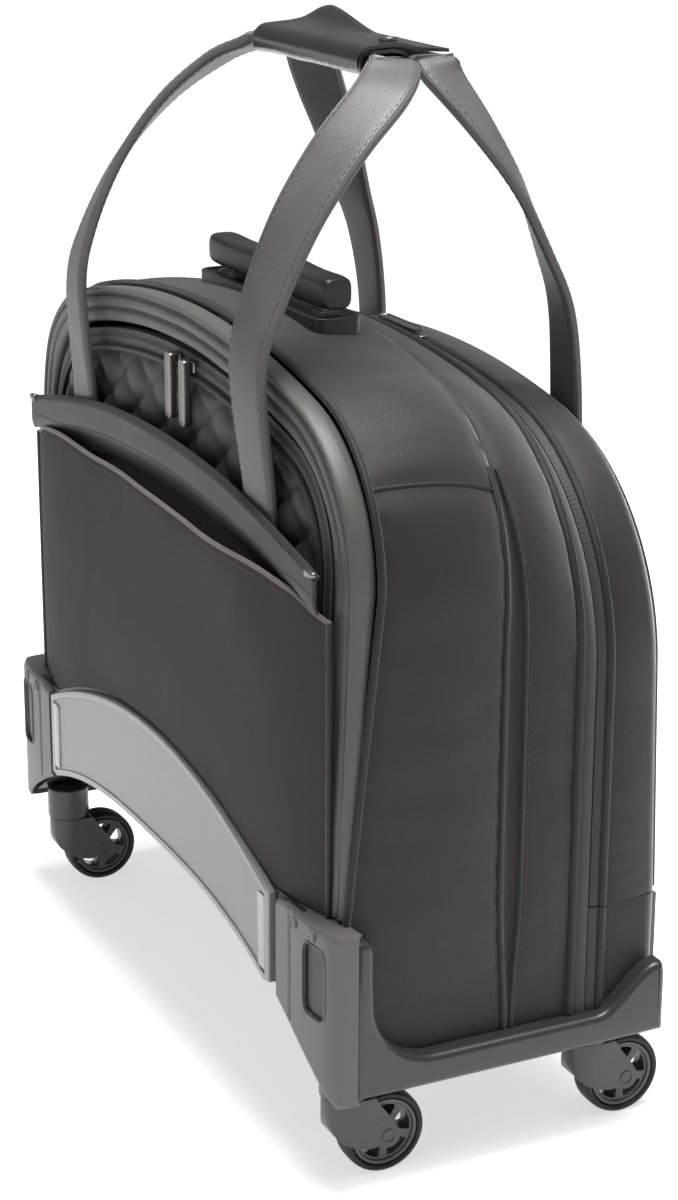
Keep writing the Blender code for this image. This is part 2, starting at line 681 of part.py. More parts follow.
def make_gusset():
    """Domed shell between the front rim and the main zip, standing on the chassis."""
    low = floor_top(HALF_WIDTH - FABRIC) + GAP
    outer = []
    inner = []
    for u in (0.0, 0.3, 0.55, 0.78, 1.0):
        ys = []
        for x, z in arch(u, 0.0, low):
            ys.append(front_edge(z) + (ZIP_Y - front_edge(z)) * u)
        outer.append([(p[0], y, p[1]) for p, y in zip(arch(u, 0.0, low), ys)])
        inner.append([(p[0], y, p[1]) for p, y in zip(arch(u, FABRIC, low), ys)])
    gusset = finish("mid_gusset", plate(outer, inner), "fabric")
    half_x = OUTER_TUBE_X + GAP
    half_y = OUTER_TUBE_Y + GAP
    depth = OUTER_TUBE_Y * 4.0
    top = dome(0.0, TROLLEY_U)
    cuts = []
    for x in (-TUBE_X, TUBE_X):
        cuts.append(box((x - half_x, TROLLEY_Y - half_y, top - depth), (x + half_x, TROLLEY_Y + half_y, top + depth)))
    apply_boolean(gusset, merge(cuts), "DIFFERENCE")


def make_rim():
    """Smooth padded rim round the front opening."""
    low = GUARD_TOP_Z + GAP
    c = RIM_CHAMFER
    section = [(0.0, 0.0), (0.0, 1.0), (c, 1.0), (RIM_WIDTH - c, 1.0), (RIM_WIDTH, 1.0), (RIM_WIDTH, 0.0)]
    drop = [0.0, -c, 0.0, 0.0, -c, 0.0]
    profiles = [arch(0.0, inset, low) for inset, _ in section]
    rings = []
    for i in range(len(profiles[0])):
        ring = []
        for k, (_, share) in enumerate(section):
            x, z = profiles[k][i]
            edge = front_edge(profiles[0][i][1])
            lean = min(max((profiles[0][i][1] - low) / (FRONT_LEAN_Z - low), 0.0), 1.0)
            depth = RIM_DEPTH_LOW + (RIM_DEPTH_TOP - RIM_DEPTH_LOW) * lean
            ring.append((x, edge - GAP - (depth * share + drop[k]), z))
        rings.append(ring)
    finish("front_rim", loft(rings), "rim")


def band_top(x):
    """Height of the pocket band's upper edge."""
    return BAND_END_Z + BAND_ARCH * (1.0 - (x / BAND_HALF) ** 2)


def lid_face(x, z):
    """Y of the quilted panel's padded face between the band and the zip strip."""
    high = lid_top(x) - ZIP_STRIP
    low = band_top(x) + GAP * 2.0
    low_y = LID_FACE_LOW_Y + BAND_LEDGE - GAP
    share = min(max((z - low) / (high - low), 0.0), 1.0)
    return low_y + (LID_FACE_TOP_Y - low_y) * share


def make_front_panel():
    """Quilted front panel: padded above the band, with a ledge under the band and a flat back."""
    side = HALF_WIDTH - SHOULDER_FRONT
    corner = SHOULDER_FRONT - LID_INSET
    edge = [side + corner * math.sin(math.radians(a)) for a in (90.0, 78.0, 64.0, 48.0, 30.0)]
    inner = spread(-side, side, 10)
    xs = [-x for x in edge] + inner + edge[::-1]
    ledge_y = LID_FACE_LOW_Y - BAND_LEDGE
    face = []
    back = []
    for x in xs:
        low = wall_top(x) + GAP
        high = lid_top(x)
        ledge = min(band_top(x), high - GAP * 4.0)
        brow = min(band_top(x) + GAP * 2.0, high - GAP * 2.0)
        heights = [high, min(max(high - ZIP_STRIP, brow + GAP), high - GAP), brow, ledge,
                   band_top(x) - BAND_WIDTH, band_top(x) - BAND_WIDTH - GAP * 2.0, low]
        depths = [LID_FACE_TOP_Y, LID_FACE_TOP_Y, LID_FACE_LOW_Y + BAND_LEDGE - GAP, ledge_y, ledge_y,
                  LID_FACE_LOW_Y, LID_FACE_LOW_Y]
        face.append([(x, y, z) for y, z in zip(depths, heights)])
        back.append([(x, front_edge(z) - LID_BACK, z) for z in heights])
    finish("front_panel", plate(face, back), "quilt", FRONT_HINGE)


def make_pocket():
    """Slip pocket on the front, open along its arched top, and the band above it."""
    xs = spread(-POCKET_HALF, POCKET_HALF, 20)
    back_y = LID_FACE_LOW_Y - GAP
    rings = []
    for x in xs:
        share = min(abs(x) / POCKET_HALF, 1.0)
        swell = POCKET_DEPTH * (1.0 - share ** 6)
        inner_y = back_y - swell
        outer_y = inner_y - POCKET_WALL
        low = wall_top(x) + GAP
        high = POCKET_END_Z + POCKET_ARCH * (1.0 - share ** 2)
        shelf = low + POCKET_WALL
        floor_y = back_y if swell > GAP else inner_y + GAP
        rings.append([(x, outer_y, high), (x, outer_y, low), (x, floor_y, low), (x, floor_y, shelf),
                      (x, inner_y, shelf), (x, inner_y, high)])
    finish("pocket_panel", loft(rings), "fabric", FRONT_HINGE)
    xs = spread(-BAND_HALF, BAND_HALF, 20)
    back_y = LID_FACE_LOW_Y - BAND_LEDGE - GAP
    front = []
    back = []
    for x in xs:
        zs = (band_top(x) - BAND_WIDTH, band_top(x))
        front.append([(x, back_y - BAND_THICK, z) for z in zs])
        back.append([(x, back_y, z) for z in zs])
    finish("pocket_band", plate(front, back), "leatherette", FRONT_HINGE)


def make_rear_section():
    """Rear section: a strip that closes against the middle gusset at the main zip, and a flat back panel."""
    low = SKIRT_TOP_Z + GAP
    front = ZIP_Y + GAP
    wall = FABRIC
    turn = BACK_ROUND

    def ring(inset, foot, at):
        points = arch(1.0, inset, low + foot)
        return [(x, at(z), z) for x, z in points]

    soft = turn * (1.0 - math.sqrt(0.5))
    strip = [ring(0.0, 0.0, lambda z: front),
             ring(0.0, 0.0, lambda z: back_face(z) - turn),
             ring(soft, soft * wall / turn, lambda z: back_face(z) - soft),
             ring(turn, wall, back_face),
             ring(turn, wall, lambda z: back_face(z) - wall),
             ring(wall, wall, lambda z: back_face(z) - turn),
             ring(wall, wall, lambda z: front)]
    finish("rear_gusset", closed_loft(strip), "fabric", REAR_HINGE)
    inset = turn + GAP
    foot = wall + GAP
    panel = [ring(inset, foot, back_face), ring(inset, foot, lambda z: back_face(z) - wall)]
    finish("rear_panel", loft(panel), "fabric", REAR_HINGE)


def strap(name, points, look, origin):
    """Flat strap along a loop: sewn face out at its feet, turned face up across the grip."""
    fine = []
    count = len(points)
    for i in range(count - 1):
        p0 = Vector(points[max(i - 1, 0)])
        p1 = Vector(points[i])
        p2 = Vector(points[i + 1])
        p3 = Vector(points[min(i + 2, count - 1)])
        for k in range(2):
            t = k / 2.0
            fine.append(((2.0 * p1) + (p2 - p0) * t + (2.0 * p0 - 5.0 * p1 + 4.0 * p2 - p3) * t ** 2
                         + (3.0 * p1 - p0 - 3.0 * p2 + p3) * t ** 3) / 2.0)
    fine.append(Vector(points[-1]))
    facing = -1.0 if points[0][1] < 0.0 else 1.0
    rings = []
    last = len(fine) - 1
    for i, p in enumerate(fine):
        along = (fine[min(i + 1, last)] - fine[max(i - 1, 0)]).normalized()
        if i in (0, last):
            along = Vector((0.0, 0.0, 1.0 if i == 0 else -1.0))
        rise = min(i, last - i) / (last / 2.0)
        ease = min(rise / STRAP_TURNED, 1.0) ** 2
        turn = math.radians(90.0) * ease
        if i > last / 2.0:
            turn = math.pi - turn
        across = Vector((math.cos(turn), facing * math.sin(turn), 0.0))
        across = (across - along * across.dot(along)).normalized()
        normal = along.cross(across)
        w = (STRAP_W + (GRIP_STRAP_W - STRAP_W) * ease) / 2.0
        t = (STRAP_T + (GRIP_STRAP_T - STRAP_T) * ease) / 2.0
        c = t * STRAP_EDGE
        rings.append([p + across * a + normal * b for a, b in
                      ((-w, -t + c), (-w + c, -t), (w - c, -t), (w, -t + c),
                       (w, t - c), (w - c, t), (-w + c, t), (-w, t - c))])
    finish(name, loft(rings), look, origin)


def course(foot, loop_y, shares):
    """Points of a carry loop's right half, from its foot up and over into the wrap."""
    way = Vector((WRAP_HALF + WRAP_ENTRY, loop_y, LOOP_Z)) - foot
    points = [foot + Vector((way.x * across, way.y * back, way.z * up)) for across, back, up in shares]
    return points + [foot + way, foot + way - Vector((WRAP_ENTRY * 2.0, 0.0, 0.0))]


def make_loops():
    """Front and rear carry loops, the wrap that joins them and the wrap's flap."""
    front_foot = Vector((STRAP_X, LID_FACE_LOW_Y, band_top(STRAP_X - STRAP_W / 2.0) + GAP * 3.0))
    right = course(front_foot, FRONT_LOOP_Y, FRONT_COURSE)
    left = [(-x, y, z) for x, y, z in right]
    strap("front_handle_strap", left + right[::-1], "leatherette", FRONT_HINGE)

    seat = GAP + STRAP_T / 2.0
    sewn = Vector((REAR_STRAP_X, back_face(REAR_STRAP_LOW_Z) + seat, REAR_STRAP_LOW_Z))
    rear_foot = Vector((REAR_STRAP_X, back_face(ZIP_APEX) + seat, ZIP_APEX))
    right = [sewn] + course(rear_foot, REAR_LOOP_Y, REAR_COURSE)
    left = [(-x, y, z) for x, y, z in right]
    strap("rear_handle_strap", left + right[::-1], "leatherette", REAR_HINGE)

    half_y = GRIP_STRAP_W / 2.0 + WRAP_GAP
    half_z = GRIP_STRAP_T / 2.0 + WRAP_GAP
    rings = []
    for grow, x in ((WRAP_WALL, -WRAP_HALF), (WRAP_WALL, WRAP_HALF), (0.0, WRAP_HALF), (0.0, -WRAP_HALF)):
        ring = []
        for cy, cz, start in ((1, 1, 0.0), (-1, 1, 90.0), (-1, -1, 180.0), (1, -1, 270.0)):
            for a, b in arc((0.0, 0.0), grow, start, start + 90.0, 2):
                ring.append((x, FRONT_LOOP_Y + cy * half_y + a, LOOP_Z + cz * half_z + b))
        rings.append(ring)
    bm = bmesh.new()
    loops = [[bm.verts.new(p) for p in ring] for ring in rings[:2]]
    corners = [[bm.verts.new(ring[k]) for k in (0, 3, 6, 9)] for ring in rings[2:]]
    count = len(loops[0])
    for k in range(count):
        nxt = (k + 1) % count
        bm.faces.new((loops[0][k], loops[0][nxt], loops[1][nxt], loops[1][k]))
    for k in range(4):
        nxt = (k + 1) % 4
        bm.faces.new((corners[0][k], corners[0][nxt], corners[1][nxt], corners[1][k]))
        for ends, core in ((loops[0], corners[1]), (loops[1], corners[0])):
            three = [ends[3 * k + m] for m in range(3)]
            bm.faces.new(three + [core[k]])
            bm.faces.new((three[2], ends[(3 * k + 3) % count], core[nxt], core[k]))
    finish("grip_wrap", bm, "black leatherette", FRONT_HINGE)

    front_y = FRONT_LOOP_Y - half_y - WRAP_WALL
    rest_z = LOOP_Z + half_z + WRAP_WALL + GAP
    tail_y = REAR_LOOP_Y - GRIP_STRAP_W / 2.0 + FLAP_TAIL
    ys = spread(front_y, tail_y, 6)
    bend_y = FRONT_LOOP_Y + half_y / 2.0
    xs = spread(-WRAP_HALF + FLAP_THICK, WRAP_HALF - FLAP_THICK, 6)
    under = []
    over = []
    for x in xs:
        lifts = [FLAP_LIFT * max(0.0, (y - bend_y) / (tail_y - bend_y)) for y in ys]
        under.append([(x, y, rest_z + lift) for y, lift in zip(ys, lifts)])
        over.append([(x, y, rest_z + lift + FLAP_THICK) for y, lift in zip(ys, lifts)])
    finish("wrap_flap", plate(over, under), "black leatherette", (0.0, front_y, rest_z))


def rounded(half_x, half_y, radius, x, y, z):
    """Rounded rectangle ring at a height."""
    ring = []
    for sx, sy, start in ((1, 1, 0.0), (-1, 1, 90.0), (-1, -1, 180.0), (1, -1, 270.0)):
        for a, b in arc((sx * (half_x - radius), sy * (half_y - radius)), radius, start, start + 90.0, 2):
            ring.append((x + a, y + b, z))
    return ring


def tube(name, stage, side, low, high):
    """Open rectangular tube of the pull handle; each stage slides inside the one before."""
    shrink = stage * (TUBE_WALL + TUBE_GAP)
    half_x = OUTER_TUBE_X - shrink
    half_y = OUTER_TUBE_Y - shrink
    radius = TUBE_ROUND - stage * TUBE_WALL / 2.0
    x = side * TUBE_X
    rings = [rounded(half_x, half_y, radius, x, TROLLEY_Y, low),
             rounded(half_x, half_y, radius, x, TROLLEY_Y, high),
             rounded(half_x - TUBE_WALL, half_y - TUBE_WALL, radius - TUBE_WALL / 2.0, x, TROLLEY_Y, high),
             rounded(half_x - TUBE_WALL, half_y - TUBE_WALL, radius - TUBE_WALL / 2.0, x, TROLLEY_Y, low)]
    finish(name, closed_loft(rings), "aluminium", (x, TROLLEY_Y, low))


def make_trolley():
    """Telescopic pull handle with its bezel, grip and release button, and the divider behind it."""
    bezel_top = dome(0.0, TROLLEY_U) + BEZEL_PROUD
    low = BOARD_TOP + GAP
    for side, label in ((-1.0, "left"), (1.0, "right")):
        tube("trolley_outer_" + label, 0, side, low, bezel_top)
        tube("trolley_middle_" + label, 1, side, low + TUBE_STEP, bezel_top + TUBE_STEP)
        tube("trolley_inner_" + label, 2, side, low + TUBE_STEP * 2.0, bezel_top + TUBE_STEP * 2.0)

    half_x = OUTER_TUBE_X + GAP
    half_y = OUTER_TUBE_Y + GAP
    xs = [-BEZEL_HALF, -TUBE_X - half_x, -TUBE_X, -TUBE_X + half_x, -TUBE_X / 2.0, 0.0]
    xs += [-x for x in xs[-2::-1]]
    ys = [TROLLEY_Y - BEZEL_DEPTH / 2.0, TROLLEY_Y - half_y, TROLLEY_Y + half_y, TROLLEY_Y + BEZEL_DEPTH / 2.0]
    holes = [(1, 1), (2, 1), (len(xs) - 4, 1), (len(xs) - 3, 1)]
    top = [[(x, y, bezel_top) for y in ys] for x in xs]
    under = [[(x, y, dome(x, (y - FRONT_TOP_Y) / SPAN_Y) + GAP) for y in ys] for x in xs]
    finish("trolley_bezel", plate(top, under, holes), "black plastic")

    foot_z = bezel_top + TUBE_STEP * 2.0 + BORE_GAP
    bar_z = foot_z + GRIP_FINGER
    top_z = bar_z + GRIP_BAR
    leg_in = TUBE_X - LEG_W / 2.0
    leg_out = TUBE_X + LEG_W / 2.0
    cut = GRIP_BAR / 2.0
    right = [(leg_in - cut, bar_z), (leg_in, foot_z), (leg_out, foot_z), (GRIP_HALF, foot_z + cut),
             (GRIP_HALF, top_z - cut), (GRIP_HALF - cut * 0.3, top_z - cut * 0.3), (GRIP_HALF - cut, top_z)]
    outline = right + [(-x, z) for x, z in right[::-1]]
    half = GRIP_DEPTH / 2.0
    shape = prism([(x, TROLLEY_Y - half, z) for x, z in outline], (0.0, GRIP_DEPTH, 0.0))
    rest = (0.0, TROLLEY_Y, foot_z)
    grip = finish("trolley_grip", shape, "black plastic", rest)
    bevel(grip, GRIP_BAR / 4.0, 2)
    well = box((-BUTTON_L / 2.0, TROLLEY_Y - BUTTON_W / 2.0, top_z - BUTTON_POCKET),
               (BUTTON_L / 2.0, TROLLEY_Y + BUTTON_W / 2.0, top_z + BUTTON_POCKET))
    apply_boolean(grip, well, "DIFFERENCE")
    half_l = BUTTON_L / 2.0 - GAP
    half_w = BUTTON_W / 2.0 - GAP
    button_top = top_z + BUTTON_PROUD
    button = box((-half_l, TROLLEY_Y - half_w, button_top - BUTTON_H), (half_l, TROLLEY_Y + half_w, button_top))
    finish("trolley_button", button, "grey plastic", (0.0, TROLLEY_Y, button_top))

    u = (DIVIDER_FAR_Y - FRONT_TOP_Y) / SPAN_Y
    outline = arch(u, FABRIC + GAP * 2.0, low)
    shape = prism([(x, DIVIDER_Y, z) for x, z in outline], (0.0, DIVIDER_THICK, 0.0))
    finish("divider_panel", shape, "board")


def make_zips():
    """Sliders and pulls: two on the front zip and one on the main zip."""
    radius = TOP_RADIUS - LID_INSET - ZIP_STRIP / 2.0
    centre_z = RIM_APEX - TOP_RADIUS
    back_y = LID_FACE_TOP_Y - GAP
    for k, label in enumerate(("left", "right")):
        x = FRONT_SLIDER_X + (k - 0.5) * FRONT_SLIDER_STEP
        z = centre_z + math.sqrt(radius ** 2 - x ** 2)
        half_l = SLIDER_L / 2.0
        half_w = SLIDER_W / 2.0
        body = box((x - half_l, back_y - SLIDER_T, z - half_w), (x + half_l, back_y, z + half_w))
        slider = finish("front_slider_" + label, body, "pewter", (0.0, back_y, centre_z))
        bevel(slider, SLIDER_T / 5.0)
        hang = Vector((x, back_y - SLIDER_T - GAP - PULL_T, z))
        half_p = PULL_W / 2.0
        low_z = z + half_p - FRONT_PULL_L
        low_y = min(lid_face(x, low_z) - GAP * 3.0 - PULL_T, hang.y)
        sides = (x - half_p, x + half_p)
        near = [[(px, hang.y, z + half_p), (px, low_y, low_z)] for px in sides]
        far = [[(p[0], p[1] + PULL_T, p[2]) for p in row] for row in near]
        pivot = hang + Vector((0.0, 0.0, half_p))
        pull = finish("front_pull_" + label, plate(near, far), "pewter", pivot)
        bevel(pull, PULL_T / 4.0)
    x = MAIN_SLIDER_X
    lift = dome(0.0, 1.0) + GAP
    low_y = ZIP_Y + GAP * 3.0
    half_l = SLIDER_L / 2.0
    body = box((x - half_l, low_y, lift), (x + half_l, low_y + SLIDER_W, lift + SLIDER_T))
    slider = finish("main_slider", body, "pewter", (0.0, ZIP_Y, ZIP_APEX - TOP_RADIUS))
    bevel(slider, SLIDER_T / 5.0)
    rest_z = lift + SLIDER_T + GAP
    pull = box((x - PULL_L, low_y, rest_z), (x, low_y + PULL_W, rest_z + PULL_T))
    tab = finish("main_pull", pull, "pewter", (x, low_y, rest_z + PULL_T))
    bevel(tab, PULL_T / 4.0)


def main():
    """Build the whole case."""
    for old in list(bpy.data.objects):
        bpy.data.objects.remove(old, do_unlink=True)
    make_chassis()
    make_front_wall()
    make_kick_plate()
    for side, label in ((-1.0, "left"), (1.0, "right")):
        make_guard(side, label)
        make_side_trim(side, label)
    make_rear_base()
    make_floor_boards()
    for side, across in ((-1.0, "left"), (1.0, "right")):
        make_castor(side, FRONT_CASTOR_Y, "front_" + across)
        make_castor(side, REAR_CASTOR_Y, "rear_" + across)
    make_gusset()
    make_rim()
    make_front_panel()
    make_pocket()
    make_rear_section()
    make_loops()
    make_trolley()
    make_zips()


main()
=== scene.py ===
import math

import bmesh
import bpy
from mathutils import Matrix, Quaternion, Vector, noise


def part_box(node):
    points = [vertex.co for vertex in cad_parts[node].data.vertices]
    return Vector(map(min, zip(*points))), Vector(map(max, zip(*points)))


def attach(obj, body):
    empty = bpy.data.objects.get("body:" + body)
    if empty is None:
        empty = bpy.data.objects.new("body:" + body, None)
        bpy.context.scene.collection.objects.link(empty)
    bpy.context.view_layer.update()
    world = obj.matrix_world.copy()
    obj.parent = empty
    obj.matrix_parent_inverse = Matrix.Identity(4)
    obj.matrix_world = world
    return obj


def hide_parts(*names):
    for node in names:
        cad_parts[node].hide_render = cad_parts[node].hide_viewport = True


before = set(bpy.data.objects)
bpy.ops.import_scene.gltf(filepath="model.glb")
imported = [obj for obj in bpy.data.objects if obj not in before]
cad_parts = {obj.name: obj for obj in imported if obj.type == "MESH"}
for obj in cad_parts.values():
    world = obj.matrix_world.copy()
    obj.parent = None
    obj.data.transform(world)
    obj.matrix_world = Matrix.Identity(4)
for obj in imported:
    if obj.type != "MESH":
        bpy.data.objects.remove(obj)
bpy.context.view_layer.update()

bl_info = {
    "name": "Rolling laptop case",
    "version": (1, 0, 0),
    "blender": (4, 5, 0),
    "location": "View3D > Sidebar > Case",
    "description": "Dresses the rolling laptop case in its fabrics, mouldings and fittings",
    "category": "Object",
}

# Lines of the case, in metres: front is -Y, right is +X
HALF = 0.214          # half width of the fabric body
BODY_FOOT = 0.0676    # lower edge of the fabric body
CROWN = 0.600         # radius of the top
CROWN_TOP = 0.415     # height of the top at the front
CROWN_DROP = 0.031    # how much lower the top is at the main zip
BEND = 0.085          # radius of the shoulders at the front
BEND_GAIN = 0.035     # how much rounder they are at the main zip
CROWN_SHARE, SHOULDER_SHARE = 0.30, 0.52    # where the crown and the shoulder end on the way to a foot
SEAM_Y = 0.0055       # recessed seam down the sides
SHOULDER_SEAM = 0.419     # share of the way at which the seam across the shoulder lies
ZIP_Y = 0.052         # main zip
ZIP_CORDS_Y = 0.0425, 0.0598    # piping in front of the main zip and behind it
ZIP_CORD = 0.0026     # radius of that piping
REAR_Y = 0.0955       # back of the case at the foot
TURN = 0.0085         # radius of the edge between side and back
LID_FOOT = 0.1294     # lower edge of the rear section
SKIRT_TOP = 0.1287    # upper edge of the skirt below it
GUARD_TOP = 0.147     # top of the front guards
BASE_HALF = 0.2249    # half width of the base
VAULT_FOOT, VAULT_RISE = 0.053, 0.061       # underside at the sides, and its rise to the middle
KICK_HALF, KICK_SIDE, KICK_RISE = 0.160, 0.145, 0.035
TRIM_TOP = 0.0700     # upper edge of the side trims on their straight run
POCKET_HALF = 0.203
GRIP_Y, GRIP_Z = 0.006, 0.543     # middle of the grip wrap

FORWARD = Vector((0, -1, 0))
SIDES = (("left", -1), ("right", 1))
SHARES = [-1 + i / 90 for i in range(181)]    # from the left foot over the arch to the right foot


def tint(red, green, blue):
    """Colour as read off a screen, in linear values."""
    def linear(level):
        return level / 12.92 if level < 0.0404 else ((level + 0.055) / 1.055) ** 2.4
    return tuple(linear(c / 255) for c in (red, green, blue))


def blend(a, b, t):
    return a + (b - a) * t


def ease(low, high, value):
    t = min(max((value - low) / (high - low), 0.0), 1.0)
    return t * t * (3 - 2 * t)


def squared(value, power):
    """A sine or cosine pushed outwards, for rounded boxes instead of circles."""
    return math.copysign(abs(value) ** power, value)


def vault(x):
    """Underside of the base."""
    return VAULT_FOOT + VAULT_RISE * (1 - min(abs(x) / BASE_HALF, 1.0) ** 2.86)


def kick_top(x):
    return KICK_SIDE + KICK_RISE * max(0.0, 1 - (x / KICK_HALF) ** 2)


def wall_top(x):
    return kick_top(x) + 0.002


def shoulder(u):
    """Shoulder radius, height of the crown's centre and place of the shoulder's centre."""
    bend = BEND + BEND_GAIN * u
    centre = CROWN_TOP - CROWN_DROP * u ** 3 - CROWN
    corner_x = HALF - bend
    corner_z = centre + math.sqrt((CROWN - bend) ** 2 - corner_x ** 2)
    return bend, centre, corner_x, corner_z


RAKE = shoulder(0.0)[3]     # height where the front stops leaning


def lean_share(z):
    """How far up the leaning part of the front a height is."""
    return min(max((z - GUARD_TOP) / (RAKE - GUARD_TOP), 0.0), 1.0)


def front_edge(z):
    return blend(-0.086, -0.068, lean_share(z))


def back_face(z):
    return REAR_Y - 0.0085 * (z - 0.129) / 0.255


def arch(u, share, inset=0.0, low=BODY_FOOT):
    """Point and outward direction on the arch of the body.

    u runs from the front (0) to the main zip (1), share from the left foot (-1)
    over the crown (0) to the right foot (1).
    """
    t = abs(share)
    side = -1.0 if share < 0 else 1.0
    bend, centre, corner_x, corner_z = shoulder(u)
    lean = math.asin(corner_x / (CROWN - bend))
    if t < CROWN_SHARE:
        turn = lean * t / CROWN_SHARE
        x, z = (CROWN - inset) * math.sin(turn), centre + (CROWN - inset) * math.cos(turn)
    elif t < SHOULDER_SHARE:
        turn = lean + (math.pi / 2 - lean) * (t - CROWN_SHARE) / (SHOULDER_SHARE - CROWN_SHARE)
        x, z = corner_x + (bend - inset) * math.sin(turn), corner_z + (bend - inset) * math.cos(turn)
    else:
        turn = math.pi / 2
        x, z = HALF - inset, blend(corner_z, low, (t - SHOULDER_SHARE) / (1 - SHOULDER_SHARE))
    return side * x, z, side * math.sin(turn), math.cos(turn)


def arch_height(x, u, inset):
    """Height of the arch above a place across the body."""
    bend, centre, corner_x, corner_z = shoulder(u)
    x = abs(x)
    if x < (CROWN - inset) * corner_x / (CROWN - bend):
        return centre + math.sqrt((CROWN - inset) ** 2 - x * x)
    return corner_z + math.sqrt(max((bend - inset) ** 2 - (x - corner_x) ** 2, 0.0))


def inset_of(x, z):
    """How far a place on the front lies inside the arch."""
    bend, centre, corner_x, corner_z = shoulder(0.0)
    x = abs(x)
    if x < (z - centre) * corner_x / (corner_z - centre):
        return CROWN - math.hypot(x, z - centre)
    return bend - math.hypot(x - corner_x, z - corner_z) if z > corner_z else HALF - x


def on_body(share, y, lift=0.0):
    """Point on the fabric body at a distance from front to back."""
    z = arch(0.5, share)[1]
    for _ in range(3):
        edge = front_edge(z)
        u = min((y - edge) / (ZIP_Y - edge), 1.0)
        x, z, across, up = arch(u, share)
    return Vector((x + across * lift, y, z + up * lift))


def lid_face(z):
    """Front of the quilted panel."""
    return blend(-0.0866, -0.0800, min(max((z - 0.19) / 0.18, 0.0), 1.0))


def band_top(x):
    return 0.323 + 0.026 * (1 - (x / 0.2) ** 2)


def rumple(point, scale, seed=0.0):
    """Even, repeatable unevenness between -1 and 1."""
    return noise.noise(point * scale + Vector((seed, seed * 0.7, -seed)))


# Working in edit mode

def rest():
    """Object mode with nothing selected."""
    if bpy.context.object and bpy.context.object.mode != "OBJECT":
        bpy.ops.object.mode_set(mode="OBJECT")
    bpy.ops.object.select_all(action="DESELECT")


def take(piece):
    """Make one piece the selected, active one."""
    rest()
    piece.select_set(True)
    bpy.context.view_layer.objects.active = piece
    return piece


def modify(piece, kind, **settings):
    """Add a modifier and apply it."""
    take(piece)
    work = piece.modifiers.new(kind.title(), kind)
    for name, value in settings.items():
        setattr(work, name, value)
    bpy.ops.object.modifier_apply(modifier=work.name)
    return piece


def close_up(piece, distance=1e-5):
    """Merge doubles and turn the faces outwards."""
    take(piece)
    bpy.ops.object.mode_set(mode="EDIT")
    bpy.ops.mesh.select_all(action="SELECT")
    bpy.ops.mesh.remove_doubles(threshold=distance)
    bpy.ops.mesh.normals_make_consistent(inside=False)
    rest()
    return piece


def smooth(piece, degrees):
    """Smooth faces up to an angle."""
    take(piece)
    bpy.ops.object.shade_smooth_by_angle(angle=math.radians(degrees))
    return piece


def cap_ends(piece):
    """Close the two open ends of a swept ring."""
    take(piece)
    bpy.ops.object.mode_set(mode="EDIT")
    bpy.ops.mesh.select_mode(type="EDGE")
    bpy.ops.mesh.select_all(action="DESELECT")
    bpy.ops.mesh.select_non_manifold()
    bpy.ops.mesh.edge_face_add()
    return close_up(piece)


def drop_faces(piece, unwanted):
    """Delete the faces whose middle is not wanted."""
    take(piece)
    bpy.ops.object.mode_set(mode="EDIT")
    shape = bmesh.from_edit_mesh(piece.data)
    for face in shape.faces:
        face.select_set(unwanted(face.calc_center_median()))
    bmesh.update_edit_mesh(piece.data)
    bpy.ops.mesh.delete(type="FACE")
    rest()


def round_edges(piece, width, segments, degrees):
    """Bevel every edge sharper than an angle."""
    return modify(piece, "BEVEL", width=width, segments=segments, limit_method="ANGLE",
                  angle_limit=math.radians(degrees))


class Bench:
    """A piece under edit-mode operators, started from a primitive."""

    def __init__(self, name, primitive, **size):
        rest()
        primitive(**size)
        self.piece = bpy.context.object
        self.piece.name = self.piece.data.name = name
        bpy.ops.object.transform_apply(location=True, rotation=True, scale=True)
        bpy.ops.object.mode_set(mode="EDIT")

    def pick(self, kind, test):
        bpy.ops.mesh.select_mode(type=kind)
        bpy.ops.mesh.select_all(action="DESELECT")
        shape = bmesh.from_edit_mesh(self.piece.data)
        for part in {"VERT": shape.verts, "EDGE": shape.edges, "FACE": shape.faces}[kind]:
            part.select_set(bool(test(part)))
        shape.select_flush_mode()
        bmesh.update_edit_mesh(self.piece.data)
        return self

    def extrude(self, move):
        bpy.ops.mesh.extrude_region_move(TRANSFORM_OT_translate={"value": move})
        return self

    def inset(self, width, depth=0.0):
        bpy.ops.mesh.inset(thickness=width, depth=depth)
        return self

    def bevel(self, width, segments=3):
        bpy.ops.mesh.bevel(offset=width, segments=segments, affect="EDGES")
        return self

    def resize(self, factors, about):
        bpy.ops.transform.resize(value=factors, center_override=about)
        return self

    def move(self, by):
        bpy.ops.transform.translate(value=by)
        return self

    def done(self, angle=32):
        return smooth(self.piece, angle)


def middle(edge):
    return (edge.verts[0].co + edge.verts[1].co) / 2


def along(edge, axis):
    run = edge.verts[1].co - edge.verts[0].co
    return abs(run[axis]) > 0.9 * run.length


def sharp(angle):
    """Test for edges that bend by more than an angle."""
    return lambda edge: edge.is_manifold and edge.calc_face_angle(0) > angle


def block(name, size, at):
    """A bench with a box of a size at a place."""
    bench = Bench(name, bpy.ops.mesh.primitive_cube_add, size=1.0)
    return bench.pick("VERT", lambda v: True).resize(tuple(size), (0, 0, 0)).move(tuple(at))


def disc(name, radius, depth, sides, **place):
    """A bench with a cylinder."""
    return Bench(name, bpy.ops.mesh.primitive_cylinder_add, radius=radius, depth=depth, vertices=sides,
                 **place)


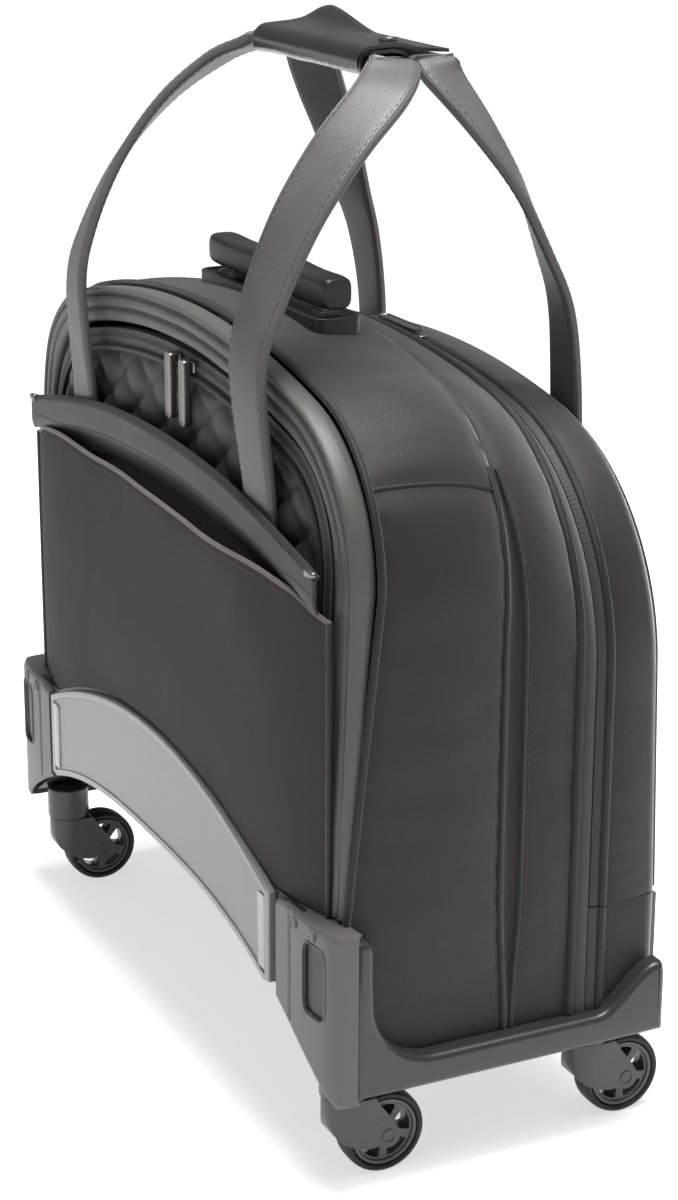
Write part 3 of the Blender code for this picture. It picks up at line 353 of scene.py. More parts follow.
def slab(name, corners, depth):
    """A bench with a solid drawn out from a flat outline."""
    bench = Bench(name, bpy.ops.mesh.primitive_circle_add, vertices=len(corners), radius=1.0,
                  fill_type="NGON")
    shape = bmesh.from_edit_mesh(bench.piece.data)
    shape.verts.ensure_lookup_table()
    for vertex, corner in zip(shape.verts, corners):
        vertex.co = corner
    bmesh.update_edit_mesh(bench.piece.data)
    bench.pick("FACE", lambda f: True).extrude(depth)
    bpy.ops.mesh.select_all(action="SELECT")
    bpy.ops.mesh.normals_make_consistent(inside=False)
    return bench


def prism(name, outline, low, high):
    """Solid from an outline in Y and Z, standing across X."""
    return slab(name, [(low, y, z) for y, z in outline], (high - low, 0, 0))


def cut(piece, tool, kind="DIFFERENCE"):
    """Cut a piece by a tool, which is used up."""
    modify(piece, "BOOLEAN", operation=kind, object=tool, solver="EXACT")
    bpy.data.objects.remove(tool)
    return piece


def length_of(points):
    return sum((b - a).length for a, b in zip(points, points[1:]))


def handed(place, sign):
    """A surface with its faces outwards on either side of the case."""
    return place if sign > 0 else lambda a, b: place(1 - a, b)


def skin(name, columns, rows, place, wall=0.0, closed=False, levels=0, tall_at=0.5):
    """A grid laid on a surface, with a UV map in metres."""
    rest()
    bpy.ops.mesh.primitive_grid_add(x_subdivisions=columns, y_subdivisions=rows, size=2.0)
    piece = bpy.context.object
    piece.name = piece.data.name = name
    mesh = piece.data
    spots = [(0.5 + 0.5 * v.co.x, 0.5 + 0.5 * v.co.y) for v in mesh.vertices]
    for vertex, (a, b) in zip(mesh.vertices, spots):
        vertex.co = place(a, b)
    steps = [i / 24 for i in range(25)]
    wide = length_of([place(a, 0.5) for a in steps])
    tall = length_of([place(tall_at, b) for b in steps])
    layer = mesh.uv_layers.active.data
    for loop in mesh.loops:
        a, b = spots[loop.vertex_index]
        layer[loop.index].uv = (a * wide, b * tall)
    mesh.update()
    if closed:
        close_up(piece)
    if wall:
        modify(piece, "SOLIDIFY", thickness=wall, offset=-1.0)
    if levels:
        modify(piece, "SUBSURF", levels=levels, render_levels=levels)
    return smooth(piece, 50)


def tube(name, points, radius, closed=False):
    """A round run along points, made a mesh."""
    rest()
    line = bpy.data.curves.new(name, "CURVE")
    line.dimensions = "3D"
    line.bevel_depth = radius
    line.bevel_resolution = 3
    line.use_fill_caps = True
    run = line.splines.new("POLY")
    run.points.add(len(points) - 1)
    for spot, point in zip(run.points, points):
        spot.co = (*point, 1.0)
    run.use_cyclic_u = closed
    piece = bpy.data.objects.new(name, line)
    bpy.context.collection.objects.link(piece)
    take(piece)
    bpy.ops.object.convert(target="MESH")
    return smooth(close_up(bpy.context.object), 50)


def walk(points, pitch):
    """Evenly spaced places along points, each with its direction."""
    places, carry = [], 0.0
    for a, b in zip(points, points[1:]):
        run = b - a
        if run.length < 1e-9:
            continue
        at = carry
        while at < run.length:
            places.append((a + run * (at / run.length), run.normalized()))
            at += pitch
        carry = at - run.length
    return places


def repeat(name, template, places, up):
    """Copies of one small shape along places, as one mesh."""
    shape = bmesh.new()
    for spot, run in places:
        out = up(spot) if callable(up) else up
        side = run.cross(out).normalized()
        out = side.cross(run).normalized()
        turn = Matrix((run, side, out)).transposed().to_4x4()
        turn.translation = spot
        copy = template.data.copy()
        copy.transform(turn)
        shape.from_mesh(copy)
        bpy.data.meshes.remove(copy)
    mesh = bpy.data.meshes.new(name)
    shape.to_mesh(mesh)
    shape.free()
    piece = bpy.data.objects.new(name, mesh)
    bpy.context.collection.objects.link(piece)
    return close_up(piece, 1e-7)


def stitch_shape(length, width):
    """One stitch lying along X."""
    bench = block("stitch", (length, width, width), (0, 0, 0))
    bench.pick("FACE", lambda f: abs(f.normal.x) > 0.9).resize((1.0, 0.4, 0.2), (0, 0, 0))
    return bench.done(60)


def stitches(name, points, up, body, look="thread", pitch=0.0042):
    template = stitch_shape(0.0029, 0.0008)
    piece = repeat(name, template, walk(points, pitch), up)
    bpy.data.objects.remove(template)
    return settle(piece, body, look, "body fabric")


def mark_edges(piece):
    """Store how far each point stands out, for edges painted lighter: partly wear, partly painted highlight.
    """
    shape = bmesh.new()
    shape.from_mesh(piece.data)
    bmesh.ops.remove_doubles(shape, verts=shape.verts, dist=1e-6)
    stands = {}
    for vertex in shape.verts:
        bends = [edge.calc_face_angle_signed(0.0) for edge in vertex.link_edges if len(edge.link_faces) == 2]
        stands[tuple(round(c, 5) for c in vertex.co)] = min(max(max(bends, default=0.0) / 0.7, 0.0), 1.0)
    shape.free()
    # this share lightens edges in the plastics: partly wear, partly painted highlight
    edge_lightening = piece.data.attributes.new("edge", "FLOAT", "POINT")
    for vertex in piece.data.vertices:
        edge_lightening.data[vertex.index].value = stands.get(tuple(round(c, 5) for c in vertex.co), 0.0)
    return piece


# Finishes

class Wire:
    """A socket that takes part in sums."""

    def __init__(self, look, socket):
        self.look, self.socket = look, socket

    def sum(self, kind, a, b):
        return self.look.node("ShaderNodeMath", {"operation": kind}, {0: a, 1: b})

    def __add__(self, other):
        return self.sum("ADD", self, other)

    __radd__ = __add__

    def __sub__(self, other):
        return self.sum("SUBTRACT", self, other)

    def __rsub__(self, other):
        return self.sum("SUBTRACT", other, self)

    def __mul__(self, other):
        return self.sum("MULTIPLY", self, other)

    __rmul__ = __mul__


class Look:
    """A material and the nodes that make its finish."""

    def __init__(self, name, **constants):
        self.material = bpy.data.materials.new(name)
        self.material.use_nodes = True
        self.tree = self.material.node_tree
        self.shader = self.tree.nodes["Principled BSDF"]
        for socket, value in constants.items():
            self.shader.inputs[socket.replace("_", " ")].default_value = value

    def feed(self, socket, value):
        if isinstance(value, Wire):
            self.tree.links.new(value.socket, socket)
        elif isinstance(value, tuple) and len(value) == 3 and len(socket.default_value) == 4:
            socket.default_value = (*value, 1.0)
        else:
            socket.default_value = value

    def node(self, kind, settings=None, inputs=None, output=0):
        made = self.tree.nodes.new(kind)
        for name, value in (settings or {}).items():
            setattr(made, name, value)
        for socket, value in (inputs or {}).items():
            self.feed(made.inputs[socket], value)
        return Wire(self, made.outputs[output])

    def give(self, **sockets):
        for socket, value in sockets.items():
            self.feed(self.shader.inputs[socket.replace("_", " ")], value)
        return self.material

    def where(self, kind="Object"):
        return self.node("ShaderNodeTexCoord", output=kind)

    def stretch(self, where, scale):
        return self.node("ShaderNodeMapping", None, {"Vector": where, "Scale": scale})

    def cloud(self, where, scale, detail=3.0):
        return self.node("ShaderNodeTexNoise", None, {"Vector": where, "Scale": scale, "Detail": detail})

    def axes(self, where):
        split = self.tree.nodes.new("ShaderNodeSeparateXYZ")
        self.feed(split.inputs[0], where)
        return [Wire(self, socket) for socket in split.outputs]

    def sine(self, value):
        return self.node("ShaderNodeMath", {"operation": "SINE"}, {0: value})

    def mix(self, factor, a, b):
        return self.node("ShaderNodeMix", {"data_type": "RGBA"}, {0: factor, 6: a, 7: b}, 2)

    def bump(self, height, depth, under=None):
        inputs = {"Height": height, "Distance": depth, "Strength": 1.0}
        if under:
            inputs["Normal"] = under
        return self.node("ShaderNodeBump", None, inputs)


def shade(colour, factor):
    return tuple(min(c * factor, 1.0) for c in colour)


def woven(name, colour, pitch, rough, sheen, crumple, coords="UV", depth=0.00012, gloss=0.3):
    """Plain-woven fabric: two crossing threads, slubs and soft creases."""
    look = Look(name, Sheen_Weight=sheen, Sheen_Roughness=0.35, Specular_IOR_Level=gloss)
    where = look.where(coords)
    u, v, w = look.axes(where)
    turn = 2 * math.pi / pitch
    weave = look.sine(u * turn) * look.sine((v + w) * turn) * 0.5 + 0.5
    slub = look.cloud(look.stretch(where, (60.0, 1400.0, 1400.0)), 1.0, 2.0)
    cloud = look.cloud(where, 22.0, 4.0)
    tone = weave * 0.35 + slub * 0.35 + cloud * 0.45
    under = look.bump(cloud, crumple)
    return look.give(
        Base_Color=look.mix(tone, shade(colour, 0.62), shade(colour, 1.42)),
        Roughness=slub * 0.16 + (rough - 0.08),
        Normal=look.bump(weave, depth, under),
    )


def grained(name, colour, rough, grain, depth, coat=0.0, gloss=0.5):
    """Coated cloth with a leather grain."""
    look = Look(name, Coat_Roughness=0.25, Specular_IOR_Level=gloss)
    where = look.where("Object")
    cell = look.node("ShaderNodeTexVoronoi", {"feature": "F1"}, {"Vector": where, "Scale": grain})
    cloud = look.cloud(where, 30.0, 4.0)
    tone = cloud * 0.75 + cell * 0.35
    return look.give(
        Base_Color=look.mix(tone, shade(colour, 0.72), shade(colour, 1.3)),
        Roughness=cloud * 0.2 + (rough - 0.1),
        Coat_Weight=cloud * (0.15 * gloss) + coat,
        Normal=look.bump(cell, depth, look.bump(cloud, 0.0006)),
    )


def moulded(name, colour, rough, metal=0.0, wear_and_highlight=0.35):
    """Moulded plastic: fine spark texture, faint flow, edges painted lighter, partly wear and partly painted
    highlight.
    """
    look = Look(name, Specular_IOR_Level=0.5)
    where = look.where("Object")
    fine = look.cloud(where, 1600.0, 2.0)
    flow = look.cloud(where, 14.0, 4.0)
    edge = look.node("ShaderNodeAttribute", {"attribute_name": "edge"}, None, 2)
    # convex edges painted lighter and glossier: partly wear, partly painted highlight
    rub_and_highlight = edge * (look.cloud(where, 120.0, 3.0) * 0.8 + 0.35)
    base = look.mix(flow, shade(colour, 0.86), shade(colour, 1.12))
    return look.give(
        Base_Color=look.mix(rub_and_highlight * wear_and_highlight, base, shade(colour, 1.9)),
        Roughness=flow * 0.12 + (rough - 0.06) - rub_and_highlight * 0.08,
        Metallic=fine * 0.05 + metal if metal else 0.0,
        Normal=look.bump(fine, 0.00004),
    )


def metal_look(name, colour, rough, streak):
    """Metal with a drawn or tumbled surface."""
    look = Look(name, Specular_IOR_Level=0.5)
    where = look.where("Object")
    draw = look.cloud(look.stretch(where, streak), 1.0, 3.0)
    spot = look.cloud(where, 90.0, 4.0)
    return look.give(
        Base_Color=look.mix(spot, shade(colour, 0.75), shade(colour, 1.2)),
        Roughness=draw * 0.2 + (rough - 0.1),
        Metallic=spot * 0.1 + 0.88,
        Normal=look.bump(draw, 0.00003),
    )


def zip_tape(name, colour):
    """Ribbed zip tape with a row of coil turns along its middle."""
    look = Look(name, Sheen_Weight=0.3, Specular_IOR_Level=0.4)
    u, v, _ = look.axes(look.where("UV"))
    rib = look.sine(v * (2 * math.pi / 0.0011)) * 0.5 + 0.5
    coil = look.sine(u * (2 * math.pi / 0.0014)) * 0.5 + 0.5
    cloud = look.cloud(look.where("UV"), 60.0, 3.0)
    return look.give(
        Base_Color=look.mix(rib * 0.4 + cloud * 0.5, shade(colour, 0.6), shade(colour, 1.3)),
        Roughness=cloud * 0.2 + 0.45,
        Normal=look.bump(rib * 0.7 + coil * 0.5, 0.00018),
    )


LOOKS = {}


def make_looks(colours):
    body, quilt = tuple(colours.body), tuple(colours.quilt)
    grey, silver = tuple(colours.moulding), tuple(colours.plate)
    LOOKS.update({
        "body": woven("body fabric", body, 0.0011, 0.46, 1.0, 0.0011, gloss=0.24),
        "quilt": woven("quilted satin", quilt, 0.0008, 0.46, 0.06, 0.0008, depth=0.00008, gloss=0.35),
        "rim": woven("rim satin", tuple(colours.rim), 0.0007, 0.40, 0.15, 0.0006, depth=0.00006, gloss=0.5),
        "pocket": woven("pocket satin", tuple(colours.pocket), 0.0008, 0.66, 0.0, 0.0012,
                        depth=0.00008, gloss=0.12),
        "lining": woven("lining twill", tint(54, 47, 44), 0.0009, 0.8, 0.15, 0.0008),
        "piping": woven("satin piping", tuple(colours.piping), 0.0008, 0.42, 0.3, 0.0003, coords="Object"),
        "binding": woven("edge binding", tint(112, 103, 101), 0.0009, 0.6, 0.25, 0.0003, coords="Object"),
        "tape": zip_tape("zip tape", tint(48, 47, 46)),
        "strap": grained("grey leatherette", tuple(colours.strap), 0.46, 1300.0, 0.00010, 0.05, 0.4),
        # the band's colour is the loops' leatherette made darker: painted shade
        "band": grained("grey leatherette band darkened as painted shade", tuple(colours.band), 0.46, 1300.0, 0.00010, 0.0, 0.25),
        "wrap": grained("black leatherette", tint(24, 25, 27), 0.24, 900.0, 0.00012, 0.45),
        "grey": moulded("grey plastic", grey, 0.42),
        # the side trims' colour is the moulding grey at a third of its brightness: painted shade
        "trim": moulded("grey plastic darkened as painted shade", shade(grey, 0.33), 0.30, wear_and_highlight=0.3),
        "silver": moulded("silver plastic", silver, 0.36, metal=0.25, wear_and_highlight=0.5),
        # a brighter copy of the kick plate's silver, for the strips on it: painted highlight
        "silver_painted_highlight": moulded("silver plastic painted highlight", shade(silver, 1.35), 0.28, metal=0.3, wear_and_highlight=0.6),
        "black": moulded("black plastic", tint(42, 41, 41), 0.40),
        "castor": moulded("castor plastic", tint(70, 67, 66), 0.30),
        "wheel": moulded("wheel plastic", tint(84, 82, 81), 0.34),
        "window": moulded("window plastic", tint(14, 14, 15), 0.42, wear_and_highlight=0.15),
        "rubber": grained("tyre rubber", tint(30, 30, 30), 0.66, 500.0, 0.00012),
        "aluminium": metal_look("tube aluminium", tint(168, 168, 170), 0.34, (900.0, 900.0, 8.0)),
        "steel": metal_look("axle steel", tint(150, 148, 146), 0.3, (10.0, 900.0, 900.0)),
        "pewter": metal_look("pewter metal", tint(128, 124, 120), 0.34, (300.0, 300.0, 300.0)),
        "board": woven("stiffener board", tint(58, 54, 52), 0.0016, 0.85, 0.1, 0.0003, coords="Object"),
        "thread": woven("sewing thread", tint(88, 84, 80), 0.0004, 0.7, 0.2, 0.0001, coords="Object"),
    })


def settle(piece, body, look, slot, *nodes):
    """Give a piece its finish and the body it moves with, and hide the solids it stands for."""
    piece.data.materials.clear()
    piece.data.materials.append(LOOKS[look])
    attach(piece, body)
    if nodes:
        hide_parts(*nodes)
    return piece


def dress(node, look):
    """Give a carried-over solid a finish."""
    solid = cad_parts[node]
    solid.data.materials.clear()
    solid.data.materials.append(LOOKS[look])


# Sizes and colours a user would change

class CaseSizes(bpy.types.PropertyGroup):
    piping: bpy.props.FloatProperty(
        name="Piping", description="Radius of the piping round the body",
        default=0.0021, min=0.001, max=0.004, unit="LENGTH")
    puff: bpy.props.FloatProperty(
        name="Quilt puff", description="How far each diamond of the quilt swells",
        default=0.0043, min=0.0, max=0.008, unit="LENGTH")
    diamond_width: bpy.props.FloatProperty(
        name="Diamond width", description="Width of a quilted diamond",
        default=0.040, min=0.02, max=0.08, unit="LENGTH")
    diamond_height: bpy.props.FloatProperty(
        name="Diamond height", description="Height of a quilted diamond",
        default=0.031, min=0.02, max=0.08, unit="LENGTH")
    belly: bpy.props.FloatProperty(
        name="Side belly", description="How far the side panels bulge",
        default=0.0042, min=0.0, max=0.008, unit="LENGTH")


class CaseColours(bpy.types.PropertyGroup):
    body: bpy.props.FloatVectorProperty(
        name="Body fabric", description="Side and back fabric",
        default=tint(44, 40, 38), subtype="COLOR", min=0, max=1)
    quilt: bpy.props.FloatVectorProperty(
        name="Quilted satin", description="Front panel",
        default=tint(62, 62, 60), subtype="COLOR", min=0, max=1)
    rim: bpy.props.FloatVectorProperty(
        name="Rim satin", description="Smooth rim round the front",
        default=tint(80, 81, 77), subtype="COLOR", min=0, max=1)
    pocket: bpy.props.FloatVectorProperty(
        name="Pocket satin", description="Front slip pocket",
        default=tint(62, 58, 56), subtype="COLOR", min=0, max=1)
    piping: bpy.props.FloatVectorProperty(
        name="Piping", description="Piping and zip edges",
        default=tint(38, 37, 36), subtype="COLOR", min=0, max=1)
    strap: bpy.props.FloatVectorProperty(
        name="Carry loops", description="Leatherette of the loops",
        default=tint(92, 88, 88), subtype="COLOR", min=0, max=1)
    # the band's default is darker than the loops' leatherette: painted shade
    band: bpy.props.FloatVectorProperty(
        name="Band", description="Leatherette band over the pocket",
        default=tint(60, 58, 58), subtype="COLOR", min=0, max=1)
    moulding: bpy.props.FloatVectorProperty(
        name="Mouldings", description="Guards and side trims",
        default=tint(98, 94, 93), subtype="COLOR", min=0, max=1)
    plate: bpy.props.FloatVectorProperty(
        name="Kick plate", description="Arched plate at the foot",
        default=tint(136, 133, 133), subtype="COLOR", min=0, max=1)


# Stage

class CASE_OT_stage(bpy.types.Operator):
    """Floor, light and camera"""
    bl_idname = "case.stage"
    bl_label = "Stage"

    def execute(self, context):
        make_looks(context.scene.case_colours)
        scene = context.scene
        scene.view_settings.view_transform = "Standard"
        bench = Bench("floor", bpy.ops.mesh.primitive_plane_add, size=40.0, location=(0, 0, 0))
        bench.pick("FACE", lambda f: True)
        bpy.ops.mesh.subdivide(number_cuts=3)
        floor = bench.done()
        look = Look("pale floor", Roughness=0.9, Specular_IOR_Level=0.1)
        paths = look.tree.nodes.new("ShaderNodeLightPath")
        rays = [Wire(look, paths.outputs[f"Is {kind} Ray"]) for kind in ("Camera", "Glossy")]
        seen = look.node("ShaderNodeMath", {"operation": "MAXIMUM"}, dict(enumerate(rays)))
        grain = look.cloud(look.where("Object"), 3.0, 2.0)
        pale = look.mix(grain, (0.80, 0.80, 0.80), (0.82, 0.82, 0.82))
        glow = look.mix(seen, (0.0, 0.0, 0.0), (0.60, 0.60, 0.60))
        look.shader.inputs["Emission Strength"].default_value = 1.0
        look.give(Base_Color=pale, Emission_Color=glow)
        floor.data.materials.append(look.material)

        world = bpy.data.worlds.new("studio")
        world.use_nodes = True
        scene.world = world
        tree = world.node_tree
        sky = tree.nodes["Background"]
        sky.inputs["Color"].default_value = (1.0, 1.0, 1.0, 1.0)
        ray = tree.nodes.new("ShaderNodeLightPath")
        level = tree.nodes.new("ShaderNodeMapRange")
        tree.links.new(ray.outputs["Is Camera Ray"], level.inputs["Value"])
        level.inputs["To Min"].default_value = 0.23
        level.inputs["To Max"].default_value = 1.0
        tree.links.new(level.outputs["Result"], sky.inputs["Strength"])

        def lamp(name, kind, place, target, energy, **settings):
            light = bpy.data.lights.new(name, kind)
            light.energy = energy
            for key, value in settings.items():
                setattr(light, key, value)
            holder = bpy.data.objects.new(name, light)
            holder.location = place
            holder.rotation_euler = (Vector(target) - Vector(place)).to_track_quat("-Z", "Y").to_euler()
            context.collection.objects.link(holder)

        lamp("overhead", "SUN", (0.45, 0.60, 2.4), (0, 0, 0.2), 0.9, angle=math.radians(30))
        lamp("front_softbox", "AREA", (0.9, -2.0, 0.9), (0, 0, 0.2), 3.0, size=1.2)
        lamp("top_softbox", "AREA", (0.15, 0.05, 2.0), (0, 0, 0.38), 46.0, size=0.9)

        lens = bpy.data.cameras.new("view")
        lens.lens, lens.sensor_width = 77.5, 36.0
        lens.clip_start, lens.clip_end = 0.05, 60.0
        azimuth, pitch, roll = math.radians(63.96), math.radians(18.244), math.radians(0.236)
        level_way = Vector((-math.sin(azimuth), math.cos(azimuth), 0.0))
        look_at = level_way * math.cos(pitch) - Vector((0, 0, math.sin(pitch)))
        camera = bpy.data.objects.new("view", lens)
        camera.location = (1.24766, -0.59591, 0.69450)
        camera.rotation_mode = "QUATERNION"
        camera.rotation_quaternion = look_at.to_track_quat("-Z", "Y") @ Quaternion((0, 0, 1), roll)
        context.collection.objects.link(camera)
        scene.camera = camera
        return {"FINISHED"}


# Fabric body

def seam_half(share, z):
    """Half width of the recessed seam strip on the sides."""
    t = abs(share)
    return 0.0009 + 0.0038 * ease(0.34, 0.56, t) * ease(0.066, 0.16, z)


def body_point(a, b):
    """The gusset from the front edge, over the seam strip, to the main zip."""
    share = 2 * a - 1
    t = abs(share)
    z = arch(0.3, share)[1]
    half = seam_half(share, z)
    if b < 0.5:
        f = b / 0.5
        y = blend(front_edge(z), SEAM_Y - half, f)
        swell = math.sin(math.pi * f) ** 0.7
        near = min(f, 1 - f)
    elif b < 0.6:
        f = (b - 0.5) / 0.1
        y = blend(SEAM_Y - half, SEAM_Y + half, f)
        swell = -0.42 * math.sin(math.pi * f) ** 0.5
        near = 0.0
    else:
        f = (b - 0.6) / 0.4
        y = blend(SEAM_Y + half, ZIP_Y - 0.0004, f)
        swell = 0.55 * math.sin(math.pi * min(f / 0.8, 1.0)) ** 0.7 if f < 0.8 else 0.0
        near = min(f, abs(0.8 - f))
    size = bpy.context.scene.case_sizes.belly
    flat = ease(0.072, 0.14, z) * blend(0.22, 1.0, ease(0.20, 0.40, t))
    well = 1 - ease(0.115, 0.085, abs(arch(0.3, share)[0])) * ease(0.30, 0.2, t)
    lift = size * swell * flat * (0.2 + 0.8 * well)
    spot = Vector((share * 2.1, y * 3, z))
    if near:
        lift += 0.0010 * rumple(Vector((share, y, z)), 26, 3.0) * flat * min(near * 6, 1.0)
        lift -= 0.0009 * math.exp(-(near / 0.05) ** 2) * flat
        lift += 0.0005 * math.sin(z * 330 + 3 * rumple(spot, 9)) * math.exp(-near / 0.12) * flat
    if b < 0.5:
        lift -= 0.0016 * math.exp(-((t - SHOULDER_SEAM) / 0.010) ** 2) * min(near * 8, 1.0)
    return on_body(share, y, lift)


class CASE_OT_gusset(bpy.types.Operator):
    """Domed gusset with its seams, piping and zip tape"""
    bl_idname = "case.gusset"
    bl_label = "Gusset"

    def execute(self, context):
        pipe = context.scene.case_sizes.piping
        gusset = skin("body_gusset", 220, 60, body_point, wall=0.0024)
        settle(gusset, "case", "body", "body fabric", "mid_gusset")
        front = [on_body(s, front_edge(arch(0, s)[1]) - 0.0004, 0.0006) for s in SHARES]
        settle(tube("front_piping", front, pipe), "case", "piping", "rim satin")
        for side, sign in SIDES:
            for name, offset, row_at in (("fore", -1, 0.466), ("aft", 1, 0.638)):
                run = []
                for i in range(70):
                    s = sign * blend(0.40, 0.995, i / 69)
                    z = arch(0.3, s)[1]
                    run.append(on_body(s, SEAM_Y + offset * (seam_half(s, z) + 0.0012), 0.0004))
                settle(tube(f"seam_cord_{name}_{side}", run, 0.0014), "case", "piping", "body fabric")
                row = [body_point((1 + sign * blend(0.42, 0.97, i / 90)) / 2, row_at) for i in range(91)]
                stitches(f"seam_stitch_{name}_{side}", row, Vector((sign, 0, 0)), "case")
            top = [body_point((1 + sign * SHOULDER_SEAM) / 2, blend(0.015, 0.49, i / 40)) for i in range(41)]
            settle(tube(f"shoulder_seam_{side}", top, 0.0010), "case", "piping", "body fabric")

        cord_y = ZIP_CORDS_Y[0]
        zip_front = [on_body(s, cord_y, 0.0008) for s in SHARES]
        settle(tube("zip_piping_front", zip_front, ZIP_CORD), "case", "piping", "body fabric")

        def tape(a, b):
            y = blend(cord_y + 0.0010, ZIP_Y - 0.0002, b)
            return on_body(2 * a - 1, y, 0.0009 + 0.0012 * math.sin(math.pi * b))
        settle(skin("zip_tape_front", 180, 6, tape, wall=0.0008), "case", "tape", "body fabric")
        return {"FINISHED"}


# Rear section

def rear_point(a, b):
    """Strip behind the main zip, rolled round onto the back."""
    share = 2 * a - 1
    z = arch(1.0, share, 0.0, LID_FOOT)[1]
    back = back_face(z)
    if b < 0.6:
        f = b / 0.6
        y = blend(ZIP_Y + 0.0006, back - TURN, f)
        inset = -0.0018 * math.sin(math.pi * f) ** 0.8 * ease(0.0, 0.3, f)
        inset -= 0.0006 * rumple(Vector((share * 2, y, z)), 24, 7.0) * math.sin(math.pi * f)
    else:
        turn = (b - 0.6) / 0.4 * math.pi / 2
        inset = TURN * (1 - math.cos(turn))
        y = back - TURN + TURN * math.sin(turn)
    x, z, _, _ = arch(1.0, share, inset, LID_FOOT)
    return Vector((x, y, z))


def back_point(a, b):
    """Padded back panel."""
    x = blend(-1, 1, a) * (HALF - TURN - 0.0004)
    top = arch_height(x, 1.0, TURN + 0.0004)
    z = blend(LID_FOOT, top, b)
    pad = (1 - (2 * a - 1) ** 6) * (1 - (2 * b - 1) ** 6)
    seam = min(abs(z - 0.30), 0.02) / 0.02
    y = back_face(z) + 0.0052 * pad * (0.35 + 0.65 * seam ** 0.6)
    y += 0.0011 * rumple(Vector((x, 0, z)), 16, 2.0) * pad
    return Vector((x, y, z))


class CASE_OT_rear(bpy.types.Operator):
    """Rear section behind the main zip, and the skirt below it"""
    bl_idname = "case.rear"
    bl_label = "Rear section"

    def execute(self, context):
        pipe = context.scene.case_sizes.piping
        strip = skin("rear_strip", 200, 26, rear_point, wall=0.0022)
        settle(strip, "rear_lid", "body", "body fabric", "rear_gusset")
        back = skin("rear_pad", 90, 90, lambda a, b: back_point(1 - a, b), wall=0.0022)
        settle(back, "rear_lid", "body", "body fabric", "rear_panel")
        ring = []
        for share in SHARES:
            x, z, _, _ = arch(1.0, share, TURN, LID_FOOT)
            ring.append(Vector((x, back_face(z) + 0.0006, z)))
        settle(tube("rear_piping", ring, pipe * 0.9), "rear_lid", "piping", "body fabric")

        cord_y = ZIP_CORDS_Y[1]
        tape_end = cord_y - 0.0008

        def over(share, y, lift):
            x, z, across, up = arch(1.0, share, 0.0, LID_FOOT)
            return Vector((x + across * lift, y, z + up * lift))
        line = [over(share, cord_y, 0.0012) for share in SHARES]
        settle(tube("zip_piping_rear", line, ZIP_CORD), "rear_lid", "piping", "body fabric")

        def tape(a, b):
            y = blend(ZIP_Y + 0.0006, tape_end, b)
            return over(2 * a - 1, y, 0.0009 + 0.0010 * math.sin(math.pi * b))
        settle(skin("zip_tape_rear", 180, 6, tape, wall=0.0008), "rear_lid", "tape", "body fabric")

        def skirt(a, b):
            # right side, round the corner, across the back, left side
            start = ZIP_Y + 0.0004
            run = REAR_Y - TURN - start
            bend = TURN * math.pi / 2
            flat = HALF - TURN
            s = abs(2 * a - 1) * (run + bend + flat)      # counted from the middle of the back
            if s < flat:
                x, y = s, REAR_Y
            elif s < flat + bend:
                turn = (s - flat) / TURN
                x, y = flat + TURN * math.sin(turn), REAR_Y - TURN * (1 - math.cos(turn))
            else:
                x, y = HALF, start + run - (s - flat - bend)
            x = math.copysign(x, 0.5 - a)
            return Vector((x, y, blend(vault(x) + 0.0042, SKIRT_TOP, b)))
        fabric = skin("skirt_fabric", 200, 12, skirt, wall=0.0026, tall_at=0.03)
        settle(fabric, "case", "body", "body fabric", "rear_skirt")
        low, high = TRIM_TOP, SKIRT_TOP - 0.0001
        for side, sign in SIDES:
            def low_tape(a, b, sign=sign):
                x = sign * (HALF + 0.0009 + 0.0010 * math.sin(math.pi * b))
                return Vector((x, blend(ZIP_Y + 0.0004, tape_end, b), blend(high, low, a)))
            ribbon = skin(f"zip_tape_low_{side}", 40, 6, handed(low_tape, sign), wall=0.0008)
            settle(ribbon, "case", "tape", "body fabric")
            run = [Vector((sign * (HALF + 0.0010), cord_y, blend(low, high, i / 12))) for i in range(13)]
            settle(tube(f"zip_piping_low_{side}", run, ZIP_CORD), "case", "piping", "body fabric")
        return {"FINISHED"}


# Front: rim, quilt, band and pocket

def rim_depth(z):
    return blend(0.0036, 0.0160, lean_share(z))


RIM_FOOT = GUARD_TOP + 0.0004
RIM_RING = (
    # inset and forward distance in millimetres; forward counts from the front of the rim
    (0.2, None), (0.0, -7.0), (0.1, -2.2), (0.8, -0.6), (2.0, 0.0), (3.2, -0.5), (3.9, -1.5), (4.6, -1.7),
    (5.3, -0.9), (6.6, -0.1), (8.6, 0.2), (10.4, -0.2), (11.2, -1.2), (11.8, -1.6), (12.4, -1.0),
    (13.4, -0.2), (15.2, 0.3), (17.2, 0.0), (18.7, -0.9), (19.6, -2.4), (19.9, -6.0), (19.7, None),
)
RIM_GROOVES = (("outer", 4.2), ("inner", 11.6))


def rim_point(a, b):
    """Padded rim with its ridges, as a closed ring swept over the arch."""
    share = 2 * a - 1
    inset, forward = RIM_RING[int(round(b * len(RIM_RING))) % len(RIM_RING)]
    x, z, _, _ = arch(0.0, share, inset / 1000, RIM_FOOT)
    outer_z = arch(0.0, share, 0.0, RIM_FOOT)[1]
    edge, depth = front_edge(outer_z), rim_depth(outer_z)
    if forward is None:
        y = edge - 0.0002
    else:
        y = edge - max(depth + forward / 1000, 0.0004)
        y += 0.0007 * rumple(Vector((x, 0, z)), 30, 5.0) * ease(0.15, 0.2, z)
    return Vector((x, y, z))


